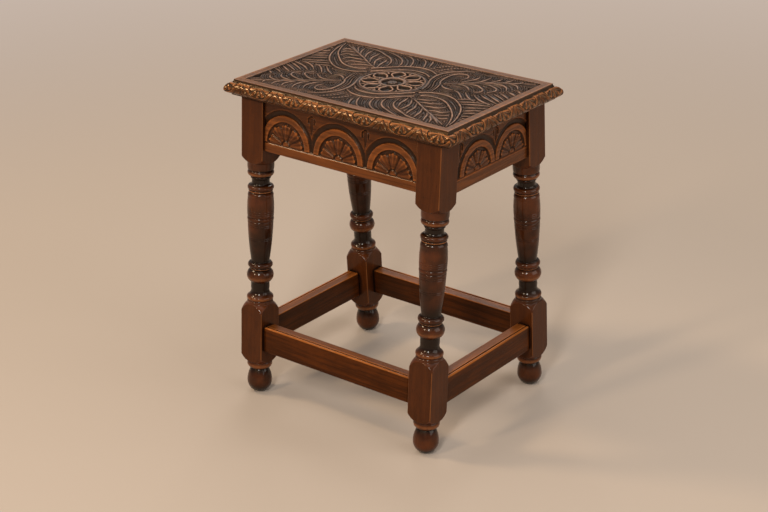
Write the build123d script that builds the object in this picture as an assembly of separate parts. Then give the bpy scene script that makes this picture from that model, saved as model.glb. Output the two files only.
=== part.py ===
from build123d import *
from math import cos, radians, sin, tan
import os

# Joint stool in oak: a carved, thumb-moulded top on four turned legs, joined by carved aprons
# above and plain stretchers below. Millimetres, +Z up, origin on the floor under the centre.
# The long side runs along X, the short side along Y. The legs splay to the front and back only.

# ---- overall sizes
STOOL_HEIGHT = 533.0
LEG_SPREAD_X = 389.0          # over the outer faces of the legs, the same from top to floor
LEG_SPREAD_Y = 271.0          # over the outer faces of the legs, just under the top
SPLAY = 3.67                  # lean of every leg to the front or the back, degrees

# ---- top board
TOP_THICKNESS = 25.0
TOP_OVERHANG_X = 13.0         # flat upper face out past the outer faces of the legs, along X
TOP_OVERHANG_Y = 2.0          # the same along Y
THUMB_PROJECTION = 12.3       # how far the moulded edge stands out past the flat
THUMB_NOSE_DROP = 15.0        # how far below the top the moulding is widest
THUMB_FOOT_DROP = 21.5        # where the round of the moulding ends in a quirk
THUMB_FOOT_PROJECTION = 7.5
QUIRK_PROJECTION = 3.0        # edge of the board below the quirk
THUMB_SWELL = 2.2             # swell of the moulding's upper and lower rounds
THUMB_TURN_IN = 1.5
BORDER = 12.5                 # plain border round the sunk field
FIELD_DEPTH = 2.5             # mean level of the carved leaves, below the border
CELL_DEPTH = 4.5              # floor of the cells that pierce the rosette
RIB_TOP = 0.5                 # rosette and ribs, below the border
STRAP_TOP = 1.5               # straps and ring, whose fine reeds lie between this and the rib tops

# ---- carved field of the top: half of it, the other half is the same turned by 180 degrees
ROSETTE_RADIUS = 50.5
BUTTON_RADIUS = 10.0
BUTTON_MOAT = 6.4             # sunk ring round the button
RING_RADIUS = 57.0            # middle of the ring that runs round the rosette
RING_WIDTH = 7.0
# Cells in each quarter of the rosette: direction, distance out, half length, half width
ROSETTE_CELLS = [(0, 31.5, 5.8, 5.4), (45, 32, 7.6, 2.8), (22.5, 40.5, 8.4, 6.2), (67.5, 40.5, 8.4, 6.2)]
STRAP_WIDTH = 15.0
LEAF_STRAP = [(-187, 112), (-175, 76), (-152, 42), (-120, 17), (-96, 13), (-75, 21), (-53, 41), (-24, 67),
              (-3, 74), (16, 72), (32, 63)]
CROSS_STRAP = [(70, 108), (52, 90), (46.5, 66), (51, 42), (63.5, 17), (67, 2)]
RIB_WIDTH = 3.4
RIBS = [
    [(-189, 120), (-138, 87.5), (-100, 62), (-61, 40)],           # pointed leaf
    [(70, 40), (112, 73), (152, 101), (186, 121)],                # curled leaf
    [(-150, 121), (-107, 111), (-72, 90), (-58, 60)],             # crescents beside the pointed leaf
    [(-100, 121), (-64, 105), (-44, 79), (-41, 66)],
    [(-66, 122), (-38, 105), (-26, 78)],
    [(-33, 123), (-11, 100), (-4, 84)],
    [(34, 121), (16, 104), (8, 85)],                              # beaded cords beside the cross strap
    [(52, 121), (34, 105), (24, 83)],
]

# ---- legs
LEG_SECTION = 44.0
LEG_ARRIS = 1.0               # softened corners of the square blocks
UPPER_BLOCK_FOOT = 409.0      # arris heights where the square blocks begin and end
LOWER_BLOCK_TOP = 142.5
LOWER_BLOCK_FOOT = 69.5
FOOT_BALL_RADIUS = 20.6
FOOT_BALL_HEIGHT = 19.7       # centre of the ball above the floor
FOOT_NECK_RADIUS = 14.4

# ---- rails
RAIL_THICKNESS = 22.0
RAIL_SETBACK = 5.0            # rail face behind the leg face
LONG_APRON_FOOT = 424.0
SIDE_APRON_FOOT = 419.5
LONG_STRETCHER_FOOT = 81.0
LONG_STRETCHER_TOP = 124.0
SIDE_STRETCHER_FOOT = 76.5
SIDE_STRETCHER_TOP = 120.5
BEAD_WIDTH = 4.5              # bead on the outer top arris of a stretcher
BEAD_QUIRK = 1.4              # width and depth of the groove behind the bead

# ---- mortise and tenon joints, stopped inside the legs
TENON_THICKNESS = 9.0
TENON_LENGTH = 21.0
TENON_SHOULDER = 5.0          # shoulder above and below a tenon
APRON_TOP_SHOULDER = 12.0     # deeper shoulder at the top of an apron
CHEEK_CLEARANCE = 0.15
MORTISE_END_GAP = 0.8

# ---- carved arches on the aprons
ARCH_BASE = 440.0             # height of the line that the arches stand on
RELIEF_DEPTH = 3.5            # grooves and hollows below the apron's face
ARCH_BAND = 11.0
ARCH_GROOVE = 8.0
ARCH_MOAT = 3.5
FAN_BOSS_RADIUS = 7.0
FAN_PETALS = 5
LONG_ARCH_RADIUS = 49.0
LONG_ARCH_PITCH = 105.0
LONG_ARCH_SHIFT = -2.5
LONG_ARCH_COUNT = 3
SIDE_ARCH_RADIUS = 45.5
SIDE_ARCH_PITCH = 92.0
SIDE_ARCH_SHIFT = 10.0
SIDE_ARCH_COUNT = 2

# ---- pocket screws that hold the top down from inside the aprons
SCREW_DIAMETER = 4.2
SCREW_HEAD_DIAMETER = 8.4
SCREW_HEAD_HEIGHT = 3.0
SCREW_POINT = 4.0
SCREW_BITE = 13.0             # length of screw inside the top board
SCREW_WOOD = 16.0             # wood between the pocket's floor and the top board
SCREW_LEAN = 15.0             # degrees from upright, so that the pocket breaks out inside
SCREW_CLEARANCE = 0.1
POCKET_DIAMETER = 11.0
POCKET_LENGTH = 60.0
LONG_SCREW_SPACING = 180.0

# ---- worked out from the sizes above
LEAN = radians(SPLAY)
HALF_SECTION = LEG_SECTION / 2
UNDERSIDE = STOOL_HEIGHT - TOP_THICKNESS
LEG_X = LEG_SPREAD_X / 2 - HALF_SECTION
LEG_TOP_Y = LEG_SPREAD_Y / 2 - HALF_SECTION / cos(LEAN)
TOP_FLAT_LENGTH = LEG_SPREAD_X + 2 * TOP_OVERHANG_X
TOP_FLAT_WIDTH = LEG_SPREAD_Y + 2 * TOP_OVERHANG_Y
FOOT_Y = LEG_TOP_Y + UNDERSIDE * tan(LEAN)
RAIL_OUTER = HALF_SECTION - RAIL_SETBACK      # rail faces, measured outwards from the legs' axis
RAIL_INNER = RAIL_OUTER - RAIL_THICKNESS
RAIL_CENTRE = (RAIL_OUTER + RAIL_INNER) / 2
LONG_RAIL_END = LEG_X - HALF_SECTION
APRON_TENON_TOP = UNDERSIDE - APRON_TOP_SHOULDER
BIG = 3 * STOOL_HEIGHT

os.makedirs("parts", exist_ok=True)


def along(height):
    """Length along a leaning leg that reaches the given height above the floor."""
    return height / cos(LEAN)


def lean(shape, side):
    """Stand a shape made about an upright leg axis at the front (-1) or the back (+1)."""
    return Pos(0, side * FOOT_Y, 0) * Rot(X=side * SPLAY) * shape


def turned_about(shape):
    """The same shape on the opposite side of the stool."""
    return Rot(Z=180) * shape


def block(x, y, z):
    """Box between the pairs of limits x, y and z."""
    size = [limits[1] - limits[0] for limits in (x, y, z)]
    return Pos(x[0], y[0], z[0]) * Box(*size, align=(Align.MIN, Align.MIN, Align.MIN))


def slab(low, high):
    """Everything between two heights above the floor."""
    return block((-BIG, BIG), (-BIG, BIG), (low, high))


def swollen(here, there, swell):
    """Line from here to there in the XZ plane, or an arc that stands out from it by the swell."""
    if not swell:
        return Line(here, there)
    across = (there - here).normalized()
    middle = (here + there) * 0.5 + Vector(across.Z, 0, -across.X) * swell
    return ThreePointArc(here, middle, there)


# ---- legs: blocks, turning and ball foot in one piece of wood
# Each step of the turning is (rise, radius at its top, swell). A swell makes the step an arc,
# round for a bead and hollow (negative) for a cove. The vase takes what height is left over.
FULLNESS = HALF_SECTION / 22.0
BLOCK_RADIUS = 1.43 * 22.0
FOOT_STEPS = [(0.8, 16.4, 0), (11.8, 19.4, 2.7), (0.4, 20.2, 0), (14.0, BLOCK_RADIUS, 1.6)]
LOWER_STEPS = [
    (16.0, 21.2, 1.6), (4.2, 21.0, 0),                            # pommel
    (0.7, 20.0, 0), (0.9, 20.0, 0), (0.6, 20.7, 0),               # groove
    (6.4, 20.5, 1.2), (0.8, 19.4, 0),                             # bead
    (12.2, 15.2, -1.9), (11.0, 15.2, 0),                          # cove and neck
    (1.0, 16.8, 0), (20.7, 16.8, 5.1), (0.5, 15.8, 0),            # large torus
    (0.4, 17.4, 0), (1.7, 17.4, 0), (0.5, 16.6, 0),               # fillet
    (9.6, 16.4, 3.8), (0.7, 14.8, 0),                             # ring under the vase
]
GROOVE_STEPS = [(1.2, 20.2, 0), (1.2, 21.2, 0), (4.2, 21.2, 0.4), (1.2, 20.2, 0), (1.2, 21.3, 0)]
VASE_SHOULDER = (8.5, 17.2, 1.6)
UPPER_STEPS = [
    (0.5, 19.6, 0), (1.8, 19.6, 0), (0.5, 18.2, 0),                          # fillet
    (8.2, 17.2, 3.6), (4.2, 14.4, -0.8), (5.8, 14.4, 0),                     # disc, cove and waist
    (0.5, 15.4, 0), (4.4, 15.4, 1.1),                                        # small half-round
    (0.8, 18.4, 0), (9.4, 19.0, 2.7),                                        # bead
    (0.9, 19.0, 0), (0.7, 21.2, 0), (11.7, 21.5, 0.3),                       # groove and collar
    (10.0, BLOCK_RADIUS, 0.5),                                               # pommel
]
VASE_BELLY_SHARE = 0.677      # part of the vase that lies below its two grooves


def turning_steps():
    """All steps of the leg from the middle of the ball foot up."""
    fixed = LOWER_STEPS + GROOVE_STEPS + [VASE_SHOULDER] + UPPER_STEPS
    vase = along(UPPER_BLOCK_FOOT - LOWER_BLOCK_TOP) - sum(step[0] for step in fixed)
    pear = along(LOWER_BLOCK_FOOT) - FOOT_BALL_HEIGHT - sum(step[0] for step in FOOT_STEPS)
    lower_block = (along(LOWER_BLOCK_TOP - LOWER_BLOCK_FOOT), BLOCK_RADIUS, 0)
    belly = (vase * VASE_BELLY_SHARE, 20.9, 1.0)
    upper_vase = (vase * (1 - VASE_BELLY_SHARE), 20.6, 0.75)
    upper_block = (along(STOOL_HEIGHT - UPPER_BLOCK_FOOT), BLOCK_RADIUS, 0)
    foot = [(pear, FOOT_NECK_RADIUS, 1.4)] + FOOT_STEPS
    column = [lower_block] + LOWER_STEPS + [belly] + GROOVE_STEPS + [upper_vase, VASE_SHOULDER]
    return foot + column + UPPER_STEPS + [upper_block]


def leg_blank():
    """One leg on an upright axis, before its mortises and its level cuts."""
    bottom = Vector(0, 0, FOOT_BALL_HEIGHT - FOOT_BALL_RADIUS)
    here = Vector(FOOT_BALL_RADIUS, 0, FOOT_BALL_HEIGHT)
    reach = FOOT_BALL_RADIUS * sin(radians(45))
    edges = [ThreePointArc(bottom, Vector(reach, 0, FOOT_BALL_HEIGHT - reach), here)]
    for rise, radius, swell in turning_steps():
        there = Vector(radius * FULLNESS, 0, here.Z + rise)
        edges.append(swollen(here, there, swell))
        here = there
    top = Vector(0, 0, here.Z)
    edges += [Line(here, top), Line(top, bottom)]
    turning = revolve(make_face(edges), Axis.Z)
    square = extrude(RectangleRounded(LEG_SECTION, LEG_SECTION, LEG_ARRIS), 2 * STOOL_HEIGHT)
    return turning & Pos(0, 0, bottom.Z) * square


# ---- tenons: one bar makes both tenons of a rail, and the same bar eased cuts the mortises
def long_tenons(foot, top, ease=0.0, end_gap=0.0):
    """Tenon bar of a front rail, in the leaning frame of the front legs."""
    reach = LONG_RAIL_END + TENON_LENGTH + end_gap
    cheek = TENON_THICKNESS / 2 + ease
    heights = (along(foot + TENON_SHOULDER) - ease, along(top) + ease)
    return block((-reach, reach), (-RAIL_CENTRE - cheek, -RAIL_CENTRE + cheek), heights)


def between_legs(low, high, outset, x):
    """Bar between a front and a back leg, its ends raked like the legs and set out past them."""
    low_end = inner_leg_face(low) + outset
    high_end = inner_leg_face(high) + outset
    outline = Polygon((-low_end, low), (low_end, low), (high_end, high), (-high_end, high), align=None)
    side = Plane(origin=(x[0], 0, 0), x_dir=(0, 1, 0), z_dir=(1, 0, 0))
    return extrude(side * outline, x[1] - x[0])


def inner_leg_face(height):
    """Distance from the middle of the stool to a leg's inner face, along Y, at a height."""
    return FOOT_Y - height * tan(LEAN) - HALF_SECTION / cos(LEAN)


def side_tenons(foot, top, ease=0.0, end_gap=0.0):
    """Tenon bar of the right-hand rail."""
    middle = LEG_X + RAIL_CENTRE
    cheek = TENON_THICKNESS / 2 + ease
    low, high = foot + TENON_SHOULDER - ease, top + ease
    return between_legs(low, high, TENON_LENGTH + end_gap, (middle - cheek, middle + cheek))


def mortised_leg():
    """The front right leg in its place, cut to the floor and to the underside of the top."""
    eased = {"ease": CHEEK_CLEARANCE, "end_gap": MORTISE_END_GAP}
    leg = lean(Pos(LEG_X, 0, 0) * leg_blank(), -1)
    leg -= lean(long_tenons(LONG_APRON_FOOT, APRON_TENON_TOP, **eased), -1)
    leg -= lean(long_tenons(LONG_STRETCHER_FOOT, LONG_STRETCHER_TOP - TENON_SHOULDER, **eased), -1)
    leg -= side_tenons(SIDE_APRON_FOOT, APRON_TENON_TOP, **eased)
    leg -= side_tenons(SIDE_STRETCHER_FOOT, SIDE_STRETCHER_TOP - TENON_SHOULDER, **eased)
    return leg & slab(0, UNDERSIDE)


# ---- pocket screws: the axis crosses the joint of rail and top at mid thickness
def screw():
    """Cheese-headed wood screw on Z: the joint at zero, its point above, its head below."""
    shank = SCREW_DIAMETER / 2
    head = SCREW_HEAD_DIAMETER / 2
    seat, crown = -SCREW_WOOD, -SCREW_WOOD - SCREW_HEAD_HEIGHT
    shape = Polyline((0, 0, crown), (0, 0, SCREW_BITE), (shank, 0, SCREW_BITE - SCREW_POINT),
                     (shank, 0, seat), (head, 0, seat), (head, 0, crown), close=True)
    return revolve(make_face(shape), Axis.Z)


def screw_bore():
    """What the screw needs cut: a clearance hole through the joint, and the pocket below it."""
    hole = Cylinder(SCREW_DIAMETER / 2 + SCREW_CLEARANCE, SCREW_WOOD + SCREW_BITE + SCREW_CLEARANCE,
                    align=(Align.CENTER, Align.CENTER, Align.MIN))
    pocket = Cylinder(POCKET_DIAMETER / 2, POCKET_LENGTH, align=(Align.CENTER, Align.CENTER, Align.MAX))
    return Pos(0, 0, -SCREW_WOOD) * (hole + pocket)


def at_screw_places(shape):
    """Copies of a shape at the six screws: two in each long apron, one in each side apron."""
    on_long = Pos(0, -RAIL_CENTRE, along(UNDERSIDE)) * Rot(X=SCREW_LEAN) * shape
    on_side = Pos(LEG_X + RAIL_CENTRE, 0, UNDERSIDE) * Rot(Y=SCREW_LEAN) * shape
    front = [lean(Pos(x, 0, 0) * on_long, -1) for x in (-LONG_SCREW_SPACING / 2, LONG_SCREW_SPACING / 2)]
    half = front + [on_side]
    return half + [turned_about(copy) for copy in half]


# ---- carved arches: a raised band over a fan, with a groove outside and a moat inside
def half_disc(radius):
    """Half disc standing on the arch base line."""
    return Circle(radius) & Rectangle(2 * radius, radius, align=(Align.CENTER, Align.MIN))


def fan(radius):
    """Half-round boss with petals that widen towards the moat."""
    spread = 180 / FAN_PETALS
    tip = radius * sin(radians(spread / 2)) * 0.9
    root = FAN_BOSS_RADIUS * sin(radians(spread / 2))
    start, reach = FAN_BOSS_RADIUS, radius - tip
    wedge = Polygon((start, -root), (reach, -tip), (reach, tip), (start, root), align=None)
    petal = wedge + Pos(reach, 0) * Circle(tip)
    shape = half_disc(FAN_BOSS_RADIUS - 1)
    for number in range(FAN_PETALS):
        shape += Rot(Z=spread * (number + 0.5)) * petal
    return shape


def arch_hollows(radius, pitch, shift, count, half_length):
    """All that is cut back from an apron's face, drawn on its arch base line."""
    places = [shift + pitch * (number - (count - 1) / 2) for number in range(count)]
    grooves = Sketch() + [Pos(place, 0) * half_disc(radius + ARCH_GROOVE) for place in places]
    bands = Sketch() + [Pos(place, 0) * half_disc(radius) for place in places]
    inside = half_disc(radius - ARCH_BAND) - fan(radius - ARCH_BAND - ARCH_MOAT)
    insides = Sketch() + [Pos(place, 0) * inside for place in places]
    face = Rectangle(2 * half_length, 2 * radius + BIG)
    return (grooves - bands + insides) & face


def long_apron():
    """Front apron: its face leans with the legs, its top edge is level."""
    heights = (along(LONG_APRON_FOOT), along(STOOL_HEIGHT))
    board = block((-LONG_RAIL_END, LONG_RAIL_END), (-RAIL_OUTER, -RAIL_INNER), heights)
    board += long_tenons(LONG_APRON_FOOT, APRON_TENON_TOP)
    hollows = arch_hollows(LONG_ARCH_RADIUS, LONG_ARCH_PITCH, LONG_ARCH_SHIFT, LONG_ARCH_COUNT, LONG_RAIL_END)
    base_line = (0, -RAIL_OUTER, along(ARCH_BASE))
    face = Plane(origin=base_line, x_dir=(1, 0, 0), z_dir=(0, -1, 0))
    board -= extrude(face * hollows, -RELIEF_DEPTH)
    return lean(board, -1) & slab(0, UNDERSIDE)


def side_apron():
    """Right-hand apron: upright, with raked shoulders against the leaning legs."""
    face_x = LEG_X + RAIL_OUTER
    board = between_legs(SIDE_APRON_FOOT, UNDERSIDE, 0, (LEG_X + RAIL_INNER, face_x))
    hollows = arch_hollows(SIDE_ARCH_RADIUS, SIDE_ARCH_PITCH, SIDE_ARCH_SHIFT, SIDE_ARCH_COUNT, LEG_SPREAD_Y)
    face = Plane(origin=(face_x, 0, ARCH_BASE), x_dir=(0, 1, 0), z_dir=(1, 0, 0))
    board -= extrude(face * hollows, -RELIEF_DEPTH)
    return board + side_tenons(SIDE_APRON_FOOT, APRON_TENON_TOP)


# ---- stretchers: plain rails with a bead run along the outer top arris
def stretcher_section(height):
    """Section with the outer face at zero and the foot at zero."""
    body = Rectangle(RAIL_THICKNESS, height, align=(Align.MIN, Align.MIN))
    outer_top = body.vertices().sort_by(Axis.Y)[-2:].sort_by(Axis.X)[0]
    body = fillet(outer_top, BEAD_WIDTH * 0.4)
    quirk = Rectangle(BEAD_QUIRK, 2 * BEAD_QUIRK)
    return body - Pos(BEAD_WIDTH + BEAD_QUIRK / 2, height) * quirk


def long_stretcher():
    """Front stretcher, leaning with the legs."""
    height = along(LONG_STRETCHER_TOP - LONG_STRETCHER_FOOT)
    corner = (-LONG_RAIL_END, -RAIL_OUTER, along(LONG_STRETCHER_FOOT))
    end = Plane(origin=corner, x_dir=(0, 1, 0), z_dir=(1, 0, 0))
    rail = extrude(end * stretcher_section(height), 2 * LONG_RAIL_END)
    rail += long_tenons(LONG_STRETCHER_FOOT, LONG_STRETCHER_TOP - TENON_SHOULDER)
    return lean(rail, -1)


def side_stretcher():
    """Right-hand stretcher, upright, with raked shoulders."""
    face_x = LEG_X + RAIL_OUTER
    end = Plane(origin=(face_x, -LEG_SPREAD_Y, SIDE_STRETCHER_FOOT), x_dir=(-1, 0, 0), z_dir=(0, 1, 0))
    rail = extrude(end * stretcher_section(SIDE_STRETCHER_TOP - SIDE_STRETCHER_FOOT), 2 * LEG_SPREAD_Y)
    rail &= between_legs(SIDE_STRETCHER_FOOT, SIDE_STRETCHER_TOP, 0, (LEG_X + RAIL_INNER, face_x))
    return rail + side_tenons(SIDE_STRETCHER_FOOT, SIDE_STRETCHER_TOP - TENON_SHOULDER)


# ---- top board: a thumb moulding mitred round four sides, and a sunk field carved in relief
def board_section(half):
    """Half section of the board in the XZ plane, from its middle to its moulded edge."""
    edge = Vector(half, 0, STOOL_HEIGHT)
    nose = edge + Vector(THUMB_PROJECTION, 0, -THUMB_NOSE_DROP)
    foot = edge + Vector(THUMB_FOOT_PROJECTION, 0, -THUMB_FOOT_DROP)
    quirk = edge + Vector(QUIRK_PROJECTION, 0, -THUMB_FOOT_DROP)
    low = Vector(quirk.X, 0, UNDERSIDE)
    rounds = [swollen(nose, edge, THUMB_SWELL), swollen(foot, nose, THUMB_TURN_IN)]
    rest = Polyline(foot, quirk, low, (0, 0, UNDERSIDE), (0, 0, STOOL_HEIGHT), edge)
    return make_face(rounds + [rest])


def moulded_bar(half):
    """Endless board with the moulding on both edges, running along Y."""
    right = board_section(half)
    both = right + mirror(right, about=Plane.YZ)
    return extrude(both, BIG / 2, dir=(0, 1, 0), both=True)


def rosette_cells():
    """What pierces the rosette: the moat round its button, and the cells of its four quarters."""
    cells = Circle(BUTTON_RADIUS + BUTTON_MOAT) - Circle(BUTTON_RADIUS)
    for quarter in range(4):
        for turn, distance, half_length, half_width in ROSETTE_CELLS:
            cells += Rot(Z=90 * quarter + turn) * Pos(distance, 0) * Ellipse(half_length, half_width)
    return cells


def both_halves(lines, width):
    """Bands of even width along smooth lines, on both halves of the field."""
    half = Sketch() + [trace(Spline(points), width) for points in lines]
    return half + turned_about(half)


def seat_top():
    """The board with its moulding, sunk field, relief and blind screw holes."""
    board = moulded_bar(TOP_FLAT_LENGTH / 2) & Rot(Z=90) * moulded_bar(TOP_FLAT_WIDTH / 2)
    field = Rectangle(TOP_FLAT_LENGTH - 2 * BORDER, TOP_FLAT_WIDTH - 2 * BORDER)
    board -= extrude(Pos(0, 0, STOOL_HEIGHT) * field, -FIELD_DEPTH)
    ground = Pos(0, 0, STOOL_HEIGHT - FIELD_DEPTH)
    ring = Circle(RING_RADIUS + RING_WIDTH / 2) - Circle(RING_RADIUS - RING_WIDTH / 2)
    straps = both_halves([LEAF_STRAP, CROSS_STRAP], STRAP_WIDTH) + ring
    ribs = both_halves(RIBS, RIB_WIDTH) + Circle(ROSETTE_RADIUS)
    board += extrude(ground * (straps & field), FIELD_DEPTH - STRAP_TOP)
    board += extrude(ground * (ribs & field), FIELD_DEPTH - RIB_TOP)
    board -= extrude(Pos(0, 0, STOOL_HEIGHT) * rosette_cells(), -CELL_DEPTH)
    return board - at_screw_places(screw_bore())


# ---- each piece goes into a node of its own
leg = mortised_leg()
legs = {
    "leg_front_right": leg,
    "leg_front_left": mirror(leg, about=Plane.YZ),
    "leg_back_right": mirror(leg, about=Plane.XZ),
    "leg_back_left": turned_about(leg),
}
bores = at_screw_places(screw_bore())
front_apron = long_apron() - bores
right_apron = side_apron() - bores
front_stretcher = long_stretcher()
right_stretcher = side_stretcher()
pieces = {
    **legs,
    "apron_front": front_apron,
    "apron_back": turned_about(front_apron),
    "apron_right": right_apron,
    "apron_left": turned_about(right_apron),
    "stretcher_front": front_stretcher,
    "stretcher_back": turned_about(front_stretcher),
    "stretcher_right": right_stretcher,
    "stretcher_left": turned_about(right_stretcher),
    "seat_top": seat_top(),
    "top_screws": Compound(at_screw_places(screw())),
}

for name, piece in pieces.items():
    export_step(piece, f"parts/{name}.step")
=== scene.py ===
import math

import bmesh
import bpy
import numpy as np
from mathutils import Matrix, Vector


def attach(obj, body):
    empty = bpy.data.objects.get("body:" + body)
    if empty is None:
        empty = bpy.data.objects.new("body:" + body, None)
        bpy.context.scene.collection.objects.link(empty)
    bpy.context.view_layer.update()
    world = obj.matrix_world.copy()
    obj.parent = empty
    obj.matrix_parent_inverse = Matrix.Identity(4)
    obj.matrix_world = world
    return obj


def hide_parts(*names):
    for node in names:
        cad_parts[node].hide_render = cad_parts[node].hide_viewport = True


# Joint stool in dark waxed oak: a carved, moulded top on four turned and splayed legs, with
# carved aprons under the top and plain stretchers near the floor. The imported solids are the
# frame of everything here. Sizes are in millimetres where a name ends in MM.
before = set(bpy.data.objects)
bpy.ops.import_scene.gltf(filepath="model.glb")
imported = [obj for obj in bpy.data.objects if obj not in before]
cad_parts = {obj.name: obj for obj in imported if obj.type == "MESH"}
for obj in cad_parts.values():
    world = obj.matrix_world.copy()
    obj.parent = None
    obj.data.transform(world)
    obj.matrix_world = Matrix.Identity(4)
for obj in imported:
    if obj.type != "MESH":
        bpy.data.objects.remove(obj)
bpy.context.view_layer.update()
MM = 0.001


# ---- Camera. It looks down on the front right corner of the stool from standing height,
# through a long lens, with the frame tipped by a fraction of a degree.
EYE = Vector((1.63587, -2.10342, 1.39792))
YAW = 0.667
PITCH = 0.411
ROLL = -0.0112

ahead = Vector((-math.sin(YAW) * math.cos(PITCH), math.cos(YAW) * math.cos(PITCH), -math.sin(PITCH)))
level_right = Vector((math.cos(YAW), math.sin(YAW), 0))
level_up = level_right.cross(ahead)
frame_right = level_right * math.cos(ROLL) + level_up * math.sin(ROLL)
frame_up = level_up * math.cos(ROLL) - level_right * math.sin(ROLL)
camera = bpy.data.objects.new("camera", bpy.data.cameras.new("camera"))
camera.data.sensor_width = 36
camera.data.lens = 84.07
camera.data.clip_end = 60
camera.matrix_world = Matrix.Translation(EYE) @ Matrix((frame_right, frame_up, -ahead)).transposed().to_4x4()
bpy.context.collection.objects.link(camera)
bpy.context.scene.camera = camera


# ---- Floor and light. A pale sheet of studio floor that fades into a paler backdrop away from the
# stool. Narrow soft boxes in front and on the left draw the highlights on the turnings, a wide
# one on the right and one overhead fill, and one behind puts a sheen on the top.
FLOOR_COLOUR = (0.485, 0.405, 0.335, 1)
FLOOR_RADIUS = 30
BACKDROP_COLOUR = (0.58, 0.475, 0.405, 1)
BACKDROP_FROM = 0.9
BACKDROP_TO = 3.2
LAMPS_AIM_AT = Vector((0, 0, 0.35))


def wire(tree, source, target):
    """Feeds an input socket, by a link where the source is a socket and by its value if not."""
    if hasattr(source, "is_linked"):
        tree.links.new(source, target)
    else:
        target.default_value = source


def add_node(tree, kind, settings=(), **values):
    """New node in a tree. Settings are its own properties, values go to its input sockets."""
    node = tree.nodes.new(kind)
    for setting, value in dict(settings).items():
        setattr(node, setting, value)
    for socket_name, value in values.items():
        wire(tree, value, node.inputs[socket_name.replace("_", " ")])
    return node


def calculate(tree, operation, first, second, clamp=False):
    """One step of arithmetic in a tree, as its output socket."""
    node = add_node(tree, "ShaderNodeMath", {"operation": operation, "use_clamp": clamp})
    wire(tree, first, node.inputs[0])
    wire(tree, second, node.inputs[1])
    return node.outputs[0]


def spread(tree, value, low, high, to_low=0.0, to_high=1.0):
    """Value between low and high, stretched smoothly to a new range."""
    return add_node(tree, "ShaderNodeMapRange", {"interpolation_type": "SMOOTHSTEP"}, Value=value,
                    From_Min=low, From_Max=high, To_Min=to_low, To_Max=to_high).outputs[0]


floor_mesh = bpy.data.meshes.new("studio_floor")
floor_sheet = bmesh.new()
bmesh.ops.create_circle(floor_sheet, cap_ends=True, radius=FLOOR_RADIUS, segments=64)
floor_sheet.to_mesh(floor_mesh)
floor_sheet.free()
floor = bpy.data.objects.new("studio_floor", floor_mesh)
bpy.context.collection.objects.link(floor)
floor_paint = bpy.data.materials.new("studio_floor")
floor_paint.use_nodes = True
floor_tree = floor_paint.node_tree
floor_shader = floor_tree.nodes["Principled BSDF"]
floor_shader.inputs["Base Color"].default_value = FLOOR_COLOUR
floor_shader.inputs["Roughness"].default_value = 0.8
floor_shader.inputs["Specular IOR Level"].default_value = 0.05
backdrop = add_node(floor_tree, "ShaderNodeEmission", Color=BACKDROP_COLOUR)
from_middle = add_node(floor_tree, "ShaderNodeVectorMath", {"operation": "LENGTH"})
wire(floor_tree, add_node(floor_tree, "ShaderNodeNewGeometry").outputs["Position"], from_middle.inputs[0])
far_off = spread(floor_tree, from_middle.outputs["Value"], BACKDROP_FROM, BACKDROP_TO)
# The backdrop shows to the camera and in reflections only, so that it puts no light on the stool.
rays = add_node(floor_tree, "ShaderNodeLightPath").outputs
seen = calculate(floor_tree, "ADD", rays["Is Camera Ray"], rays["Is Glossy Ray"])
seen = calculate(floor_tree, "ADD", seen, rays["Is Transmission Ray"], True)
backdrop_share = calculate(floor_tree, "MULTIPLY", seen, far_off)
floor_mix = add_node(floor_tree, "ShaderNodeMixShader")
for place, source in enumerate((backdrop_share, floor_shader.outputs[0], backdrop.outputs[0])):
    wire(floor_tree, source, floor_mix.inputs[place])
wire(floor_tree, floor_mix.outputs[0], floor_tree.nodes["Material Output"].inputs["Surface"])
floor_mesh.materials.append(floor_paint)

SOFT_BOXES = {
    # name: (place, width, height, power, colour)
    "front_box": ((1.3, -2.9, 2.7), 0.5, 1.3, 70, (1, 0.96, 0.92)),
    "left_box": ((-0.8, -3.1, 2.2), 0.34, 0.8, 35, (1, 0.78, 0.55)),
    "high_left_box": ((-2.1, -1.2, 2.9), 0.5, 0.5, 36, (1, 0.76, 0.5)),
    "right_box": ((3.4, 0.6, 1.9), 3.0, 2.6, 54, (1, 0.94, 0.9)),
    "back_box": ((-1.9, 2.7, 2.7), 1.6, 1.2, 26, (1, 0.95, 0.92)),
    "top_box": ((0.0, 0.6, 3.6), 4.4, 4.4, 42, (1, 0.97, 0.93)),
}
for box_name, (box_place, box_width, box_height, box_power, box_colour) in SOFT_BOXES.items():
    lamp = bpy.data.lights.new(box_name, "AREA")
    lamp.shape = "RECTANGLE"
    lamp.size = box_width
    lamp.size_y = box_height
    lamp.energy = box_power
    lamp.color = box_colour
    lamp_object = bpy.data.objects.new(box_name, lamp)
    lamp_object.location = box_place
    aim = LAMPS_AIM_AT - Vector(box_place)
    lamp_object.rotation_euler = aim.to_track_quat("-Z", "Y").to_euler()
    bpy.context.collection.objects.link(lamp_object)

room = bpy.data.worlds.new("room")
bpy.context.scene.world = room
room.use_nodes = True
room_nodes = room.node_tree.nodes
room_light = room_nodes["Background"]
room_light.inputs["Color"].default_value = (1, 0.94, 0.88, 1)
room_light.inputs["Strength"].default_value = 0.24
bpy.context.scene.view_settings.view_transform = "Standard"


# ---- Legs. Each is turned and squared from one length of oak, stained dark and waxed until the
# beads shine. The arrises of the blocks are rubbed paler, and old wax with painted shade lies dark in the
# hollows.
LEG_NODES = ("leg_front_right", "leg_front_left", "leg_back_right", "leg_back_left")


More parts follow.
